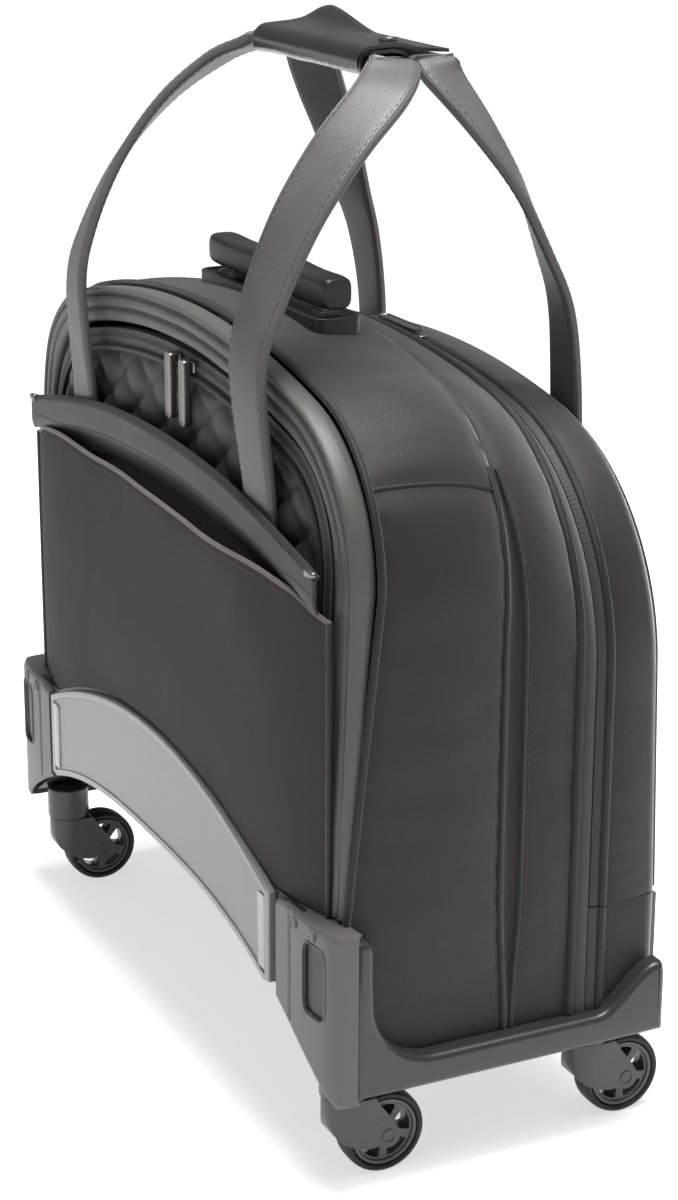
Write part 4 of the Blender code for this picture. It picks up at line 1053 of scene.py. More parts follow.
class CASE_OT_rim(bpy.types.Operator):
    """Padded front rim with its ridges"""
    bl_idname = "case.rim"
    bl_label = "Rim"

    def execute(self, context):
        rim = skin("rim_pad", 200, len(RIM_RING), rim_point, closed=True)
        cap_ends(rim)
        modify(rim, "SUBSURF", levels=1, render_levels=1)
        smooth(rim, 50)
        settle(rim, "case", "rim", "rim satin", "front_rim")
        for name, inset in RIM_GROOVES:
            run = []
            for share in SHARES:
                x, z, _, _ = arch(0.0, share * 0.995, inset / 1000, RIM_FOOT)
                outer_z = arch(0.0, share * 0.995, 0.0, RIM_FOOT)[1]
                run.append(Vector((x, front_edge(outer_z) - rim_depth(outer_z) + 0.0013, z)))
            settle(tube(f"rim_cord_{name}", run, 0.0007), "case", "piping", "rim satin")
        return {"FINISHED"}


def lid_edge(x):
    """Upper edge of the quilted panel, inside the rim."""
    return arch_height(x, 0.0, 0.023)


class CASE_OT_quilt(bpy.types.Operator):
    """Quilted front panel with its zip tape and lining"""
    bl_idname = "case.quilt"
    bl_label = "Quilt"

    def execute(self, context):
        sizes = context.scene.case_sizes
        wide, tall, puff = sizes.diamond_width, sizes.diamond_height, sizes.puff

        # panel that the quilt, the pocket and the loops are sewn to
        def core(a, b):
            x = blend(-0.191, 0.191, a)
            top = lid_edge(x) if abs(x) < 0.190 else lid_edge(0.190)
            z = blend(wall_top(x) + 0.0006, top, b)
            return Vector((x, lid_face(z) + 0.0004, z))
        panel = skin("lid_core", 96, 48, core, wall=0.0032)
        settle(panel, "front_lid", "lining", "quilted satin", "front_panel")

        def height(x, z):
            fore, aft = x / wide + z / tall, x / wide - z / tall
            return abs(math.sin(math.pi * fore)) * abs(math.sin(math.pi * aft))

        half, low, high = 0.188, 0.300, 0.3945
        step_x, step_z = wide / 16, tall / 16
        columns, rows = int(2 * half / step_x), int((high - low) / step_z)

        def sewn(a, b):
            x, z = round(a * columns) * step_x - half, low + round(b * rows) * step_z
            border = ease(0.0330, 0.0440, inset_of(x, z))
            lift = puff * border * height(x, z - low) ** 0.42
            lift += 0.0006 * border * rumple(Vector((x, 0, z)), 40, 9.0) * height(x, z - low)
            return Vector((x, lid_face(z) - 0.0003 - lift, z))
        quilt = skin("quilt_panel", columns, rows, sewn)
        drop_faces(quilt, lambda p: inset_of(p.x, p.z) <= 0.0325 or p.z <= band_top(p.x) - 0.012)
        self.swell(quilt, height, low)
        modify(quilt, "SOLIDIFY", thickness=0.0012, offset=-1.0)
        smooth(quilt, 60)
        settle(quilt, "front_lid", "quilt", "quilted satin")

        for family, letter in ((1, "a"), (-1, "b")):
            number = 0
            for k in range(-8, 16):
                run = []
                for i in range(60):
                    z = blend(low, high, i / 59)
                    x = wide * (k - family * (z - low) / tall)
                    if inset_of(x, z) > 0.037 and band_top(x) < z:
                        run.append(Vector((x, lid_face(z) - 0.0009, z)))
                if len(run) > 3:
                    number += 1
                    stitches(f"quilt_stitch_{letter}{number}", run, FORWARD, "front_lid", "piping", 0.0034)

        def tape(a, b):
            x, z, _, _ = arch(0.0, (2 * a - 1) * 0.80, blend(0.0345, 0.0235, b), GUARD_TOP)
            return Vector((x, lid_face(z) - 0.0008 - 0.0014 * math.exp(-((b - 0.5) / 0.16) ** 2), z))
        ribbon = skin("front_zip_tape", 160, 10, tape, wall=0.0008)
        settle(ribbon, "front_lid", "tape", "quilted satin")
        edge = []
        for i in range(161):
            x, z, _, _ = arch(0.0, (-1 + i / 80) * 0.78, 0.0348, GUARD_TOP)
            edge.append(Vector((x, lid_face(z) - 0.0018, z)))
        settle(tube("quilt_piping", edge, 0.0017), "front_lid", "piping", "quilted satin")
        return {"FINISHED"}

    def swell(self, quilt, height, low):
        """Blow the diamonds up between their seams with a short cloth run."""
        take(quilt)
        scene = bpy.context.scene
        pins = quilt.vertex_groups.new(name="seams")
        before = [v.co.copy() for v in quilt.data.vertices]
        rim = set()
        shape = bmesh.new()
        shape.from_mesh(quilt.data)
        for edge in shape.edges:
            if len(edge.link_faces) == 1:
                rim.update(v.index for v in edge.verts)
        shape.free()
        for vertex in quilt.data.vertices:
            if vertex.index in rim or height(vertex.co.x, vertex.co.z - low) < 0.02:
                pins.add([vertex.index], 1.0, "REPLACE")
        cloth = quilt.modifiers.new("Swell", "CLOTH")
        cloth.settings.vertex_group_mass = "seams"
        cloth.settings.quality = 6
        cloth.settings.mass = 0.15
        cloth.settings.use_pressure = True
        cloth.settings.uniform_pressure_force = 4.0
        cloth.settings.tension_stiffness = 20
        cloth.settings.compression_stiffness = 20
        cloth.settings.bending_stiffness = 0.3
        cloth.settings.effector_weights.gravity = 0.0
        cloth.collision_settings.use_self_collision = False
        for step in range(1, 21):
            scene.frame_set(step)
        seen = quilt.evaluated_get(bpy.context.evaluated_depsgraph_get())
        after = [v.co.copy() for v in seen.data.vertices]
        quilt.modifiers.remove(cloth)
        scene.frame_set(1)
        for vertex, was, now in zip(quilt.data.vertices, before, after):
            move = now - was
            if move.length > 0.003:
                move.length = 0.003
            vertex.co = was + move
        quilt.data.update()


class CASE_OT_pocket(bpy.types.Operator):
    """Slip pocket and the band above it"""
    bl_idname = "case.pocket"
    bl_label = "Pocket"

    def execute(self, context):
        half = POCKET_HALF
        gape_at, gape_half = 0.06, 0.14

        def mouth(x):
            corners = ease(0.07, 0.15, abs(x)) * ease(half, 0.172, abs(x))
            return 0.2995 + 0.016 * (1 - (x / half) ** 2) + 0.0050 * corners

        def pocket(a, b):
            s = blend(-1, 1, a)
            x = s * half
            z = blend(wall_top(x) + 0.0004, mouth(x), b)
            loose = 1 - s ** 8
            reach = min(abs(x - gape_at) / gape_half, 1.0)
            gape = ease(0.55, 1.0, b) * (0.5 + 0.5 * math.cos(reach * math.pi))
            y = -0.0904 - 0.0112 * (1 - s ** 6) - 0.0026 * math.sin(math.pi * b) * loose
            y -= 0.0024 * gape
            y += 0.0016 * rumple(Vector((x, 0, z)), 13, 4.0) * loose
            y += 0.0002 * rumple(Vector((x * 1.5, 0, z)), 34, 8.0) * loose
            z -= 0.0018 * gape * ease(0.9, 1.0, b)
            return Vector((x, y, z))
        sheet = skin("pocket_sheet", 130, 60, pocket, wall=0.0016)
        settle(sheet, "front_lid", "pocket", "quilted satin", "pocket_panel")
        area = sum(face.area for face in sheet.data.polygons) / 2
        rim = [pocket(i / 120, 1.0) + Vector((0, 0.0008, 0.0)) for i in range(121)]
        settle(tube("pocket_binding", rim, 0.0013), "front_lid", "binding", "quilted satin")
        run = [pocket(i / 120, 0.975) + Vector((0, -0.0003, 0)) for i in range(121)]
        stitches("pocket_stitch", run, FORWARD, "front_lid")
        round(area / (2 * half), 4)
        for side, sign in SIDES:
            edge = [pocket(0.0 if sign < 0 else 1.0, i / 40) + Vector((0, -0.0002, 0)) for i in range(41)]
            settle(tube(f"pocket_edge_{side}", edge, 0.0016), "front_lid", "piping", "quilted satin")

        def band(a, b):
            x = blend(-0.199, 0.199, a)
            drop = blend(blend(0.031, 0.0205, ease(0.14, 0.195, abs(x))), 0.0, b)
            z = band_top(x) - drop
            y = -0.0972 + 0.0024 * ease(0.003, 0.0, drop) + 0.0052 * ease(0.014, 0.031, drop)
            y += 0.0005 * rumple(Vector((x, 0, z)), 22, 6.0)
            return Vector((x, y, z))
        strip = skin("band_strip", 120, 24, band, wall=0.0022, levels=1)
        settle(strip, "front_lid", "band", "grey leatherette", "pocket_band")
        for name, b in (("upper", 0.87), ("lower", 0.42)):
            row = [band(i / 120, b) + Vector((0, -0.0003, 0)) for i in range(121)]
            stitches(f"band_stitch_{name}", row, FORWARD, "front_lid")
        for side, sign in SIDES:
            at = (sign * 0.1945, -0.0962, band_top(0.1945) - 0.0012)
            bench = block(f"band_end_{side}", (0.0085, 0.0046, 0.0046), at)
            bench.pick("FACE", lambda f: f.normal.x * sign > 0.9).resize((1.0, 0.7, 0.6), at)
            bench.pick("EDGE", lambda e: True).bevel(0.0011, 3)
            settle(mark_edges(bench.done()), "front_lid", "pewter", "pewter metal")
        return {"FINISHED"}


# Carry loops and wrap

def catmull(points, steps):
    """Smooth run through points, with its place counted in spans."""
    run = []
    last = len(points) - 1
    for i in range(last):
        a, b, c, d = points[max(i - 1, 0)], points[i], points[i + 1], points[min(i + 2, last)]
        for k in range(steps):
            t = k / steps
            bend = (2 * a - 5 * b + 4 * c - d) * t * t + (3 * b - a - 3 * c + d) * t ** 3
            run.append((i + t, 0.5 * (2 * b + (c - a) * t + bend)))
    run.append((float(last), points[-1].copy()))
    return run


# shares of the way from a foot to the end of the grip: across, back and up
FRONT_COURSE = (
    (0, 0, 0), (0.06, -0.05, 0.31), (0.06, 0.04, 0.48), (0.125, 0.24, 0.67), (0.25, 0.51, 0.83),
    (0.48, 0.79, 0.94), (0.81, 0.95, 0.985),
)
REAR_COURSE = (
    (0, 0, 0), (-0.03, 0.085, 0.24), (0.03, 0.25, 0.42), (0.18, 0.455, 0.62), (0.46, 0.715, 0.80),
    (0.82, 0.95, 0.95),
)
LOOP_END_X = 0.074        # where a loop enters the wrap
LOOP_TOP_HALF = 0.0105    # half width of a loop in the wrap


def loop_run(foot, grip_y, course, sewn):
    """Points of one loop from its right foot over the grip to its left foot."""
    foot, end = Vector(foot), Vector((LOOP_END_X, grip_y, GRIP_Z))
    right = [Vector(sewn)]
    for shares in course:
        right.append(Vector([blend(*way) for way in zip(foot, end, shares)]))
    right += [end, Vector((0.058, grip_y, GRIP_Z))]
    left = [Vector((-p.x, p.y, p.z)) for p in reversed(right)]
    return right + left


def loop_piece(name, points, facing, foot_half):
    """A strap that turns on its way up; also gives its stations, for the stitching."""
    run = catmull(points, 9)
    last = run[-1][0]
    stations = []
    for n, (place, point) in enumerate(run):
        a, b = run[max(n - 1, 0)][1], run[min(n + 1, len(run) - 1)][1]
        way = (b - a).normalized()
        rise = min(place, last - place) / (last / 2)
        soft = min(rise / 0.8, 1.0) ** 2
        turn = math.pi / 2 * soft
        if place > last / 2:
            turn = math.pi - turn
        across = Vector((math.cos(turn), facing * math.sin(turn), 0.0))
        across = (across - way * across.dot(way)).normalized()
        out = way.cross(across).normalized()
        half = blend(foot_half, LOOP_TOP_HALF, min(rise / 0.92, 1.0) ** 5)
        stations.append((point, across, out, half, blend(0.0026, 0.0036, soft)))

    def place(a, b):
        point, across, out, half, thick = stations[int(round(a * (len(stations) - 1)))]
        turn = 2 * math.pi * b
        c, s = math.cos(turn), math.sin(turn)
        dip = 0.0005 * math.exp(-((abs(c) - 0.82) / 0.05) ** 2)
        height = thick * squared(s, 0.55) - math.copysign(dip, s)
        return point + across * (half * squared(c, 0.35)) + out * height
    piece = skin(name, len(stations) - 1, 40, place, closed=True)
    return smooth(cap_ends(piece), 50), stations


class CASE_OT_loops(bpy.types.Operator):
    """Front and rear carry loops with their stitching"""
    bl_idname = "case.loops"
    bl_label = "Carry loops"

    def execute(self, context):
        front = loop_run((0.122, -0.090, 0.3426), GRIP_Y, FRONT_COURSE, (0.1222, -0.0905, 0.3210))
        rear_sewn = (0.113, back_face(0.33) + 0.0029, 0.330)
        rear = loop_run((0.113, 0.0899, 0.384), GRIP_Y + 0.0245, REAR_COURSE, rear_sewn)
        for name, points, facing, foot_half, body, node in (
                ("front_loop", front, 1, 0.0165, "front_lid", "front_handle_strap"),
                ("rear_loop", rear, -1, 0.0148, "rear_lid", "rear_handle_strap")):
            piece, stations = loop_piece(name, points, facing, foot_half)
            settle(piece, body, "strap", "grey leatherette", node)
            for side in (-1, 1):
                for face in (-1, 1):
                    row = [p + across * (side * half * 0.80) + out * (face * (thick * 0.92))
                           for p, across, out, half, thick in stations[4:-4]]
                    outs = [out * face for _, _, out, _, _ in stations[4:-4]]

                    def up(spot, row=row, outs=outs):
                        return outs[min(range(len(row)), key=lambda i: (row[i] - spot).length_squared)]
                    label = ("inner" if face < 0 else "outer") + ("_a" if side < 0 else "_b")
                    stitches(f"{name}_stitch_{label}", row, up, body, "piping", 0.0048)
        return {"FINISHED"}


SLEEVE_HALF, FLAP_HALF = 0.066, 0.064     # half lengths of the wrap and its flap
FLAP_FOLD = 0.22      # share of the flap that is turned down in front


class CASE_OT_wrap(bpy.types.Operator):
    """Grip wrap and its flap with the snap"""
    bl_idname = "case.wrap"
    bl_label = "Grip wrap"

    def execute(self, context):
        def sleeve(a, b):
            x = blend(-SLEEVE_HALF, SLEEVE_HALF, a)
            turn = 2 * math.pi * b
            c, s = math.cos(turn), math.sin(turn)
            flare = 1 + 0.05 * ease(0.055, SLEEVE_HALF, abs(x))
            y = GRIP_Y + 0.0131 * flare * squared(c, 0.6)
            z = GRIP_Z + 0.0066 * flare * squared(s, 0.6)
            dent = 0.0005 * rumple(Vector((x, y, z)), 60, 1.0)
            dent += 0.0003 * rumple(Vector((x * 3, y, z)), 90, 6.0)
            return Vector((x, y + dent * c, z + dent * s))
        wrap = skin("wrap_sleeve", 60, 40, lambda a, b: sleeve(1 - a, b), closed=True, wall=0.0018)
        close_up(wrap)
        settle(wrap, "front_lid", "wrap", "black leatherette", "grip_wrap")

        def flap(a, b):
            x = blend(-FLAP_HALF, FLAP_HALF, a)
            if b < FLAP_FOLD:       # turned down over the front of the sleeve
                turn = blend(-0.35, math.pi / 2, b / FLAP_FOLD)
                y, z = -0.0088 * math.cos(turn), 0.5440 + 0.0082 * math.sin(turn)
            else:
                f = (b - FLAP_FOLD) / (1 - FLAP_FOLD)
                y, z = blend(0.0, 0.0440, f), 0.5522 + 0.0012 * math.sin(math.pi * f) - 0.0005 * f
            corner = ease(-0.014, -FLAP_HALF, x) * ease(0.012, 0.044, y)
            z += 0.0085 * corner
            y -= 0.0050 * corner
            z -= 0.0028 * ease(0.014, 0.030, y) * (1 - corner)
            z += 0.0004 * rumple(Vector((x, y, 0)), 55, 2.0)
            return Vector((x, y, z))
        cover = skin("wrap_cover", 48, 40, flap, wall=0.0018)
        settle(cover, "wrap_flap", "wrap", "black leatherette", "wrap_flap")
        edge = [flap(i / 40, 0.02) for i in range(41)]
        edge += [flap(0.98, i / 20) for i in range(1, 21)]
        edge += [flap(1 - i / 40, 0.97) for i in range(1, 41)]
        edge += [flap(0.02, 1 - i / 20) for i in range(1, 20)]
        inner = [Vector((p.x * 0.95, blend(0.0185, p.y, 0.9), p.z + 0.0002)) for p in edge]
        stitches("wrap_stitch", inner, Vector((0, 0, 1)), "wrap_flap", pitch=0.004)
        at = flap(0.90, 0.50)
        bench = disc("wrap_snap", 0.0052, 0.0016, 32, location=(at.x, at.y, at.z + 0.0006))
        bench.pick("FACE", lambda f: f.normal.z > 0.9)
        bench.inset(0.0012, -0.0004).inset(0.0008, 0.0006).inset(0.0010, -0.0002)
        bench.pick("EDGE", sharp(0.9)).bevel(0.0002, 2)
        settle(mark_edges(bench.done()), "wrap_flap", "pewter", "pewter metal")
        return {"FINISHED"}


# Base mouldings

# guard in plan, from the kick plate round the front corner, and its window
GUARD_PLAN = ((0.167, -0.1028), (0.1946, -0.1028), (0.2150, -0.1012), (0.2240, -0.0985), (0.2264, -0.0945),
              (0.2271, -0.0856))
WINDOW_X, WINDOW_Z = 0.209, 0.117
RIVETS = ((0.1892, 0.1408), (0.2080, 0.1414))
KICK_FRONT, KICK_BACK = -0.1041, -0.0996
TRIM_SWEEP = 0.0345       # radius of a side trim's sweep into the front corner


class CASE_OT_base(bpy.types.Operator):
    """Kick plate, guards with their rivets, and side trims"""
    bl_idname = "case.base"
    bl_label = "Base"

    def execute(self, context):
        self.kick_plate()
        self.guards()
        self.trims()
        return {"FINISHED"}

    def kick_plate(self):
        across = [blend(-KICK_HALF, KICK_HALF, i / 48) for i in range(49)]
        outline = [(x, vault(x) + (0.0002 if abs(x) < KICK_HALF - 0.002 else 0.004)) for x in across]
        outline += [(x, kick_top(x)) for x in reversed(across)]
        bench = slab("kick_face", [(x, KICK_BACK, z) for x, z in outline], (0, KICK_FRONT - KICK_BACK, 0))
        bench.pick("EDGE", lambda e: abs(middle(e).y - KICK_FRONT) < 1e-5).bevel(0.0011, 3)
        bench.pick("FACE", lambda f: f.normal.y < -0.99).inset(0.0026, 0.0).inset(0.0006, -0.0008)
        settle(mark_edges(bench.done(30)), "case", "silver", "silver plastic", "kick_plate")
        # a thin strip of brighter silver near each end of the plate: painted highlight
        for side, sign in SIDES:
            x = sign * 0.1515
            bottom, top = vault(x) + 0.006, kick_top(x) - 0.007
            size, at = (0.0085, 0.0012, top - bottom), (x, KICK_FRONT + 0.0005, (top + bottom) / 2)
            rib = block(f"kick_highlight_strip_{side}", size, at)
            rib.pick("EDGE", lambda e: along(e, 1)).bevel(0.0018, 3)
            rib.pick("EDGE", lambda e: middle(e).y < KICK_FRONT).bevel(0.0004, 2)
            settle(mark_edges(rib.done()), "case", "silver_painted_highlight", "silver plastic")

    def guards(self):
        path = [point for _, point in catmull([Vector((x, y, 0)) for x, y in GUARD_PLAN], 8)]
        lengths = [length_of(path[:i + 1]) for i in range(len(path))]

        def along_path(share):
            goal = share * lengths[-1]
            for i in range(1, len(lengths)):
                if goal <= lengths[i] + 1e-12:
                    t = (goal - lengths[i - 1]) / (lengths[i] - lengths[i - 1])
                    return path[i - 1].lerp(path[i], t)
            return path[-1].copy()

        def face_y(x):
            return min(path, key=lambda p: abs(p.x - x)).y

        for side, sign in SIDES:
            self.guard(side, sign, along_path)
            ring = []
            for i in range(60):
                turn = 2 * math.pi * i / 60
                x = WINDOW_X + 0.0103 * squared(math.cos(turn), 0.4)
                z = WINDOW_Z + 0.0198 * squared(math.sin(turn), 0.3)
                ring.append(Vector((sign * x, face_y(x) - 0.0001, z)))
            settle(tube(f"window_frame_{side}", ring, 0.0006, closed=True), "case", "grey", "grey plastic")

            def pane(a, b, sign=sign):
                x = WINDOW_X + blend(-0.0105, 0.0105, a)
                return Vector((sign * x, face_y(x) + 0.0016, WINDOW_Z + blend(-0.0200, 0.0200, b)))
            glass = skin(f"window_pane_{side}", 20, 20, handed(pane, sign), wall=0.0012)
            settle(mark_edges(glass), "case", "window", "black plastic", f"guard_window_{side}")
            for number, (x, z) in enumerate(RIVETS, 1):
                rivet = disc(f"guard_rivet_{side}_{number}", 0.0032, 0.0014, 24,
                             location=(sign * x, face_y(x), z), rotation=(math.pi / 2, 0, 0))
                rivet.pick("FACE", lambda f: f.normal.y < -0.9).inset(0.0007, 0.0003).inset(0.0006, -0.0003)
                rivet.pick("EDGE", sharp(0.9)).bevel(0.0003, 2)
                settle(mark_edges(rivet.done()), "case", "grey", "grey plastic")

    def guard(self, side, sign, along_path):
        """Face rolled round the corner, with a ledge on top and an opening for the window."""
        ledge = 0.9       # share of the grid that is the face; the rest is the ledge

        def place(a, b):
            p = along_path(a)
            low = vault(p.x) + 0.0002
            top = GUARD_TOP - 0.002 * ease(0.180, 0.167, p.x)
            if b > ledge:
                f = (b - ledge) / (1 - ledge)
                x, y = blend(p.x, min(p.x, 0.2136), f), blend(p.y + 0.0016, max(p.y, -0.0872), f)
                return Vector((sign * x, y, top - 0.0003 * ease(0.0, 0.3, f)))
            b /= ledge
            edge = min(b, 1 - b) * (top - low)
            roll = 0.0016 * (1 - min(edge / 0.004, 1.0)) ** 2
            groove = 0.0011 * math.exp(-((p.x - 0.1835) / 0.0012) ** 2) * ease(0.0, 0.006, edge)
            return Vector((sign * p.x, p.y + roll + groove, blend(low, top, b)))

        def in_window(spot):
            u, v = (abs(spot.x) - WINDOW_X) / 0.0100, (spot.z - WINDOW_Z) / 0.0195
            return spot.y < -0.0955 and abs(u) ** 5 + abs(v) ** 7 < 1
        guard = skin(f"guard_face_{side}", 96, 60, handed(place, sign))
        drop_faces(guard, in_window)
        modify(guard, "SOLIDIFY", thickness=0.0028, offset=-1.0)
        round_edges(guard, 0.0005, 2, 50)
        settle(mark_edges(smooth(guard, 35)), "case", "grey", "grey plastic", f"front_guard_{side}")

    def trims(self):
        front, foot = -0.0850, 0.0532
        outline = [(front, foot + 0.0003)]
        outline += [(blend(front, REAR_Y, i / 8), foot) for i in range(1, 8)]
        outline += [(REAR_Y, foot + 0.0003), (REAR_Y, 0.0840)]
        outline += [(0.0953, 0.0880), (0.0946, 0.0912), (0.0936, 0.0930)]
        for i in range(13):     # rear end, swept down to the straight run
            outline.append((0.0915 - 0.0365 * i / 12, TRIM_TOP + 0.0234 * (1 - ease(0, 1, i / 12))))
        outline += [(blend(0.050, -0.040, i / 8), TRIM_TOP) for i in range(9)]
        for i in range(1, 13):  # sweep up into the front corner
            turn = math.radians(blend(0, 84, i / 12))
            rise = TRIM_SWEEP * (1 - math.cos(turn))
            outline.append((-0.0400 - TRIM_SWEEP * math.sin(turn), TRIM_TOP + rise))
        outline += [(-0.0748, 0.1150), (-0.0750, 0.1330), (-0.0762, 0.1375), (-0.0790, 0.1398)]
        outline.append((front, 0.1400))
        inner, outer = 0.2146, 0.2247
        for side, sign in SIDES:
            bench = prism(f"trim_moulding_{side}", outline, sign * inner, sign * outer)
            bench.pick("EDGE", lambda e: abs(middle(e).x) > outer - 0.0001 and not along(e, 0))
            bench.bevel(0.0040, 5)
            # the trims take the darkened moulding grey: painted shade
            settle(mark_edges(bench.done(40)), "case", "trim", "grey plastic", f"side_trim_{side}")


# Castors

CASTOR_X = 0.2006
CASTOR_ENDS = (("front", -0.08025), ("rear", 0.06175))
TRAIL, WHEEL_RADIUS = 0.020, 0.0225       # hub behind the swivel, and above the floor
FORK_HALF, FORK_DEPTH = 0.0117, 0.0122    # half width of a fork, and its reach in front of the swivel
LYING = (0, math.pi / 2, 0)               # a cylinder along the axle


class CASE_OT_castors(bpy.types.Operator):
    """Four castors: housing, fork, spoked wheel, tyre and hub screw"""
    bl_idname = "case.castors"
    bl_label = "Castors"

    def execute(self, context):
        makers = (self.fork, self.wheel, self.tyre, self.screw, self.housing)
        fork, wheel, tyre, screw, housing = templates = [make() for make in makers]
        for end, y in CASTOR_ENDS:
            for side, sign in SIDES:
                name = f"{end}_{side}"
                swivel = Vector((sign * CASTOR_X, y, 0))
                hub = swivel + Vector((0, TRAIL, WHEEL_RADIUS))
                turning, rolling = f"castor_{name}", f"wheel_{name}"
                dark = "black plastic"
                for template, label, place, body, look, slot, nodes in (
                        (fork, "fork_arms", swivel, turning, "castor", dark, ["castor_fork"]),
                        (housing, "castor_cup", swivel, "case", "castor", dark, ["castor_housing"]),
                        (wheel, "wheel_spokes", hub, rolling, "wheel", dark, ["castor_wheel"]),
                        (tyre, "wheel_tread", hub, rolling, "rubber", "tyre rubber", ["castor_tyre"]),
                        (screw, "hub_screw", hub, turning, "castor", dark, [])):
                    copy = bpy.data.objects.new(f"{label}_{name}", template.data.copy())
                    context.collection.objects.link(copy)
                    copy.data.transform(Matrix.Translation(place))
                    settle(mark_edges(copy), body, look, slot, *(f"{node}_{name}" for node in nodes))
        for template in templates:
            bpy.data.objects.remove(template)
        return {"FINISHED"}

    def fork(self):
        arc = []
        for i in range(13):   # round the hub, from below in front to behind
            turn = math.radians(blend(225, 395, i / 12))
            arc.append((TRAIL + 0.0066 * math.cos(turn), WHEEL_RADIUS + 0.0066 * math.sin(turn)))
        nose = [(-FORK_DEPTH, 0.0462), (-FORK_DEPTH, 0.0390), (-0.0116, 0.0335), (-0.0092, 0.0275),
                (-0.0048, 0.0228), (0.0024, 0.0194), (0.0096, 0.0176)]
        rear = [(0.0222, 0.0318), (0.0180, 0.0374), (0.0148, 0.0418), (0.0124, 0.0462)]
        body = prism("fork_arms", nose + arc + rear, -FORK_HALF, FORK_HALF).done()
        plan = []             # round in front, straight behind
        for i in range(25):
            turn = math.radians(blend(180, 360, i / 24))
            plan.append((FORK_HALF * math.cos(turn), FORK_DEPTH * math.sin(turn), 0.0))
        plan += [(FORK_HALF, 0.036, 0.0), (-FORK_HALF, 0.036, 0.0)]
        cut(body, slab("plan", plan, (0, 0, 0.06)).done(), "INTERSECT")
        cut(body, disc("slot", 0.0236, 0.0162, 64, location=(0, TRAIL, WHEEL_RADIUS), rotation=LYING).done())
        round_edges(body, 0.0012, 3, 38)
        return smooth(body, 35)

    def housing(self):
        bench = disc("castor_cup", 0.0130, 0.0200, 48, location=(0, 0, 0.0566))
        bench.pick("FACE", lambda f: f.normal.z < -0.9).inset(0.0010, 0.0)
        bench.pick("EDGE", sharp(0.9)).bevel(0.0010, 3)
        return bench.done()

    def wheel(self):
        bench = disc("wheel_spokes", 0.0181, 0.0130, 80, rotation=LYING)
        for sign in (-1, 1):
            bench.pick("FACE", lambda f: f.normal.x * sign > 0.9 and len(f.verts) > 8)
            bench.inset(0.0016, 0.0).inset(0.0005, -0.0012).inset(0.0090, 0.0).inset(0.0006, 0.0014)
        wheel = bench.done(30)
        for k in range(5):
            centre = 2 * math.pi * k / 5 + 0.3
            outline = []
            for radius, spread, order in ((0.0068, 0.36, 1), (0.0150, 0.47, -1)):
                for i in range(9):
                    turn = centre + order * blend(-spread, spread, i / 8)
                    outline.append(Vector((radius * math.cos(turn), radius * math.sin(turn))))
            corners = [outline[i] for i in (0, 8, 9, 17)]

            def at_corner(edge, corners=corners):
                return along(edge, 0) and min((middle(edge).yz - p).length for p in corners) < 1e-5
            opening = prism("opening", outline, -0.02, 0.02)
            opening.pick("EDGE", at_corner)
            opening.bevel(0.0014, 3)
            cut(wheel, opening.done())
        round_edges(wheel, 0.0004, 2, 40)
        return smooth(wheel, 35)

    def tyre(self):
        def place(a, b):
            turn, ring = 2 * math.pi * a, 2 * math.pi * b
            c, s = math.cos(ring), math.sin(ring)
            radius = 0.0204 + 0.0021 * squared(s, 0.7)
            return Vector((0.0075 * squared(c, 0.6), radius * math.cos(turn), radius * math.sin(turn)))
        return skin("wheel_tread", 72, 24, place, closed=True)

    def screw(self):
        bench = disc("hub_screw", 0.0042, 0.0244, 32, rotation=LYING)
        for sign in (-1, 1):
            bench.pick("FACE", lambda f: f.normal.x * sign > 0.9 and len(f.verts) > 8)
            bench.inset(0.0012, 0.0).inset(0.0003, -0.0010).inset(0.0010, 0.0).inset(0.0002, -0.0006)
        bench.pick("EDGE", sharp(0.9)).bevel(0.0002, 2)
        return bench.done()


# Pull handle

BUTTON_CORNER = 0.0034


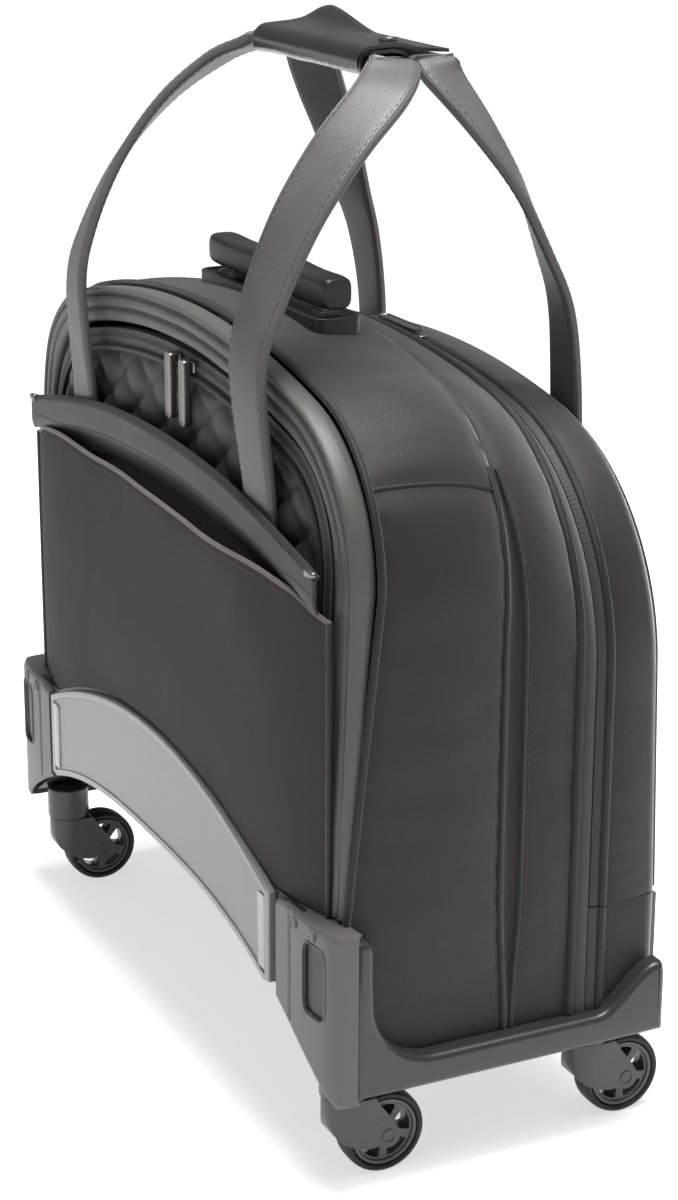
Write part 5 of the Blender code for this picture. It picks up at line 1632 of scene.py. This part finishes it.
class CASE_OT_trolley(bpy.types.Operator):
    """Pull-handle grip, button and bezel"""
    bl_idname = "case.trolley"
    bl_label = "Pull handle"

    def execute(self, context):
        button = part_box("trolley_button")
        self.grip(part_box("trolley_grip"), button)
        low, high = button
        centre = (low + high) / 2
        bench = block("grip_button", high - low, centre)
        bench.pick("EDGE", lambda e: along(e, 2)).bevel(BUTTON_CORNER, 5)
        bench.pick("FACE", lambda f: f.normal.z > 0.9).inset(0.0014, 0.0).inset(0.0006, -0.0005)
        bench.pick("EDGE", lambda e: sharp(1.2)(e) and middle(e).z > centre.z).bevel(0.0003, 2)
        settle(mark_edges(bench.done()), "trolley_button", "grey", "grey plastic", "trolley_button")
        bench = block("handle_bezel", (0.156, 0.028, 0.0125), (0, -0.024, 0.41115))
        bench.pick("EDGE", lambda e: along(e, 2)).bevel(0.0085, 6)
        bench.pick("FACE", lambda f: f.normal.z > 0.9).inset(0.0022, 0.0).inset(0.0008, -0.0012)
        bench.pick("EDGE", lambda e: sharp(0.7)(e) and middle(e).z > 0.4155).bevel(0.0006, 3)
        settle(mark_edges(bench.done()), "case", "black", "black plastic", "trolley_bezel")
        return {"FINISHED"}

    def grip(self, box, button):
        """Rounded bar with a well that the button goes down into."""
        low, high = box
        centre, half = (low + high) / 2, (high - low) / 2

        def bar(a, b):
            x = blend(low.x + 0.0004, high.x - 0.0004, a)
            turn = 2 * math.pi * b
            c, s = math.cos(turn), math.sin(turn)
            end = (1 - abs(2 * a - 1) ** 14) ** 0.5 if 0 < a < 1 else 0.0
            y = centre.y + half.y * blend(0.82, 1.0, end) * squared(c, 0.55)
            z = centre.z + half.z * blend(0.80, 1.0, end) * squared(s, 0.5)
            scoop = 0.0012 * math.exp(-((abs(x) - 0.045) / 0.020) ** 2) * max(0.0, s)
            return Vector((x, y, z - scoop))
        grip = cap_ends(skin("grip_bar", 80, 40, lambda a, b: bar(a, 1 - b), closed=True))
        low, high = button
        depth, play, travel = 0.012, 0.0008, 0.0026
        size = (high.x - low.x + play, high.y - low.y + play, depth)
        well = block("well", size, (0, (low.y + high.y) / 2, low.z - travel + depth / 2))
        well.pick("EDGE", lambda e: along(e, 2)).bevel(BUTTON_CORNER, 5)
        cut(grip, well.done())
        round_edges(grip, 0.0008, 3, 50)
        settle(mark_edges(smooth(grip, 40)), "trolley_top", "black", "black plastic", "trolley_grip")


# Zip sliders

def slider_piece(name, box):
    """Slider body, narrower at its ends."""
    low, high = box
    centre = (low + high) / 2
    bench = block(name, high - low, centre)
    bench.pick("FACE", lambda f: abs(f.normal.x) > 0.9).resize((1.0, 0.72, 0.72), tuple(centre))
    bench.pick("EDGE", lambda e: True).bevel(0.0009, 3)
    return mark_edges(bench.done())


def pull_piece(name, box, thin_axis):
    """Flat pull with rounded corners and a sunk face on either side."""
    low, high = box
    bench = block(name, high - low, (low + high) / 2)
    bench.pick("EDGE", lambda e: along(e, thin_axis)).bevel(0.0028, 4)
    for sign in (-1, 1):
        bench.pick("FACE", lambda f: f.normal[thin_axis] * sign > 0.9 and len(f.verts) > 6)
        bench.inset(0.0011, 0.0).inset(0.0004, -0.0004)
    bench.pick("EDGE", sharp(1.2)).bevel(0.00025, 2)
    return mark_edges(bench.done())


class CASE_OT_zips(bpy.types.Operator):
    """Zip sliders and their pulls"""
    bl_idname = "case.zips"
    bl_label = "Zip sliders"

    def execute(self, context):
        for place, slider, pull, thin_axis in (
                ("front_left", "front_slider_left", "front_pull_left", 1),
                ("front_right", "front_slider_right", "front_pull_right", 1),
                ("main", "main_slider", "main_pull", 2)):
            body = slider_piece(f"zip_slider_{place}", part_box(slider))
            settle(body, slider, "pewter", "pewter metal", slider)
            tab = pull_piece(f"zip_pull_{place}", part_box(pull), thin_axis)
            settle(tab, pull, "pewter", "pewter metal", pull)
        return {"FINISHED"}


class CASE_OT_inside(bpy.types.Operator):
    """Finishes for the solids that stay as they are"""
    bl_idname = "case.inside"
    bl_label = "Inside"

    def execute(self, context):
        looks = {
            "chassis_vault": "black", "front_wall": "black", "rear_skid_plate": "grey",
            "front_floor_board": "board", "main_floor_board": "board", "divider_panel": "lining",
        }
        for side in ("left", "right"):
            for part in ("outer", "middle", "inner"):
                looks[f"trolley_{part}_{side}"] = "aluminium"
        for end in ("front", "rear"):
            for side in ("left", "right"):
                looks[f"castor_axle_{end}_{side}"] = "steel"
        for node, look in looks.items():
            dress(node, look)
        return {"FINISHED"}


STEPS = (
    CASE_OT_stage, CASE_OT_gusset, CASE_OT_rear, CASE_OT_rim, CASE_OT_quilt, CASE_OT_pocket, CASE_OT_loops,
    CASE_OT_wrap, CASE_OT_base, CASE_OT_castors, CASE_OT_trolley, CASE_OT_zips, CASE_OT_inside,
)


class CASE_PT_panel(bpy.types.Panel):
    """Steps and settings of the case"""
    bl_idname = "CASE_PT_panel"
    bl_label = "Rolling laptop case"
    bl_space_type = "VIEW_3D"
    bl_region_type = "UI"
    bl_category = "Case"

    def draw(self, context):
        for group in (context.scene.case_sizes, context.scene.case_colours):
            for name in group.__annotations__:
                self.layout.prop(group, name)
        for step in STEPS:
            self.layout.operator(step.bl_idname)


CLASSES = (CaseSizes, CaseColours, *STEPS, CASE_PT_panel)


def register():
    for item in CLASSES:
        bpy.utils.register_class(item)
    bpy.types.Scene.case_sizes = bpy.props.PointerProperty(type=CaseSizes)
    bpy.types.Scene.case_colours = bpy.props.PointerProperty(type=CaseColours)


def unregister():
    del bpy.types.Scene.case_colours
    del bpy.types.Scene.case_sizes
    for item in reversed(CLASSES):
        bpy.utils.unregister_class(item)


def main():
    register()
    for step in STEPS:
        family, name = step.bl_idname.split(".")
        getattr(getattr(bpy.ops, family), name)()
    rest()


if __name__ == "__main__":
    main()
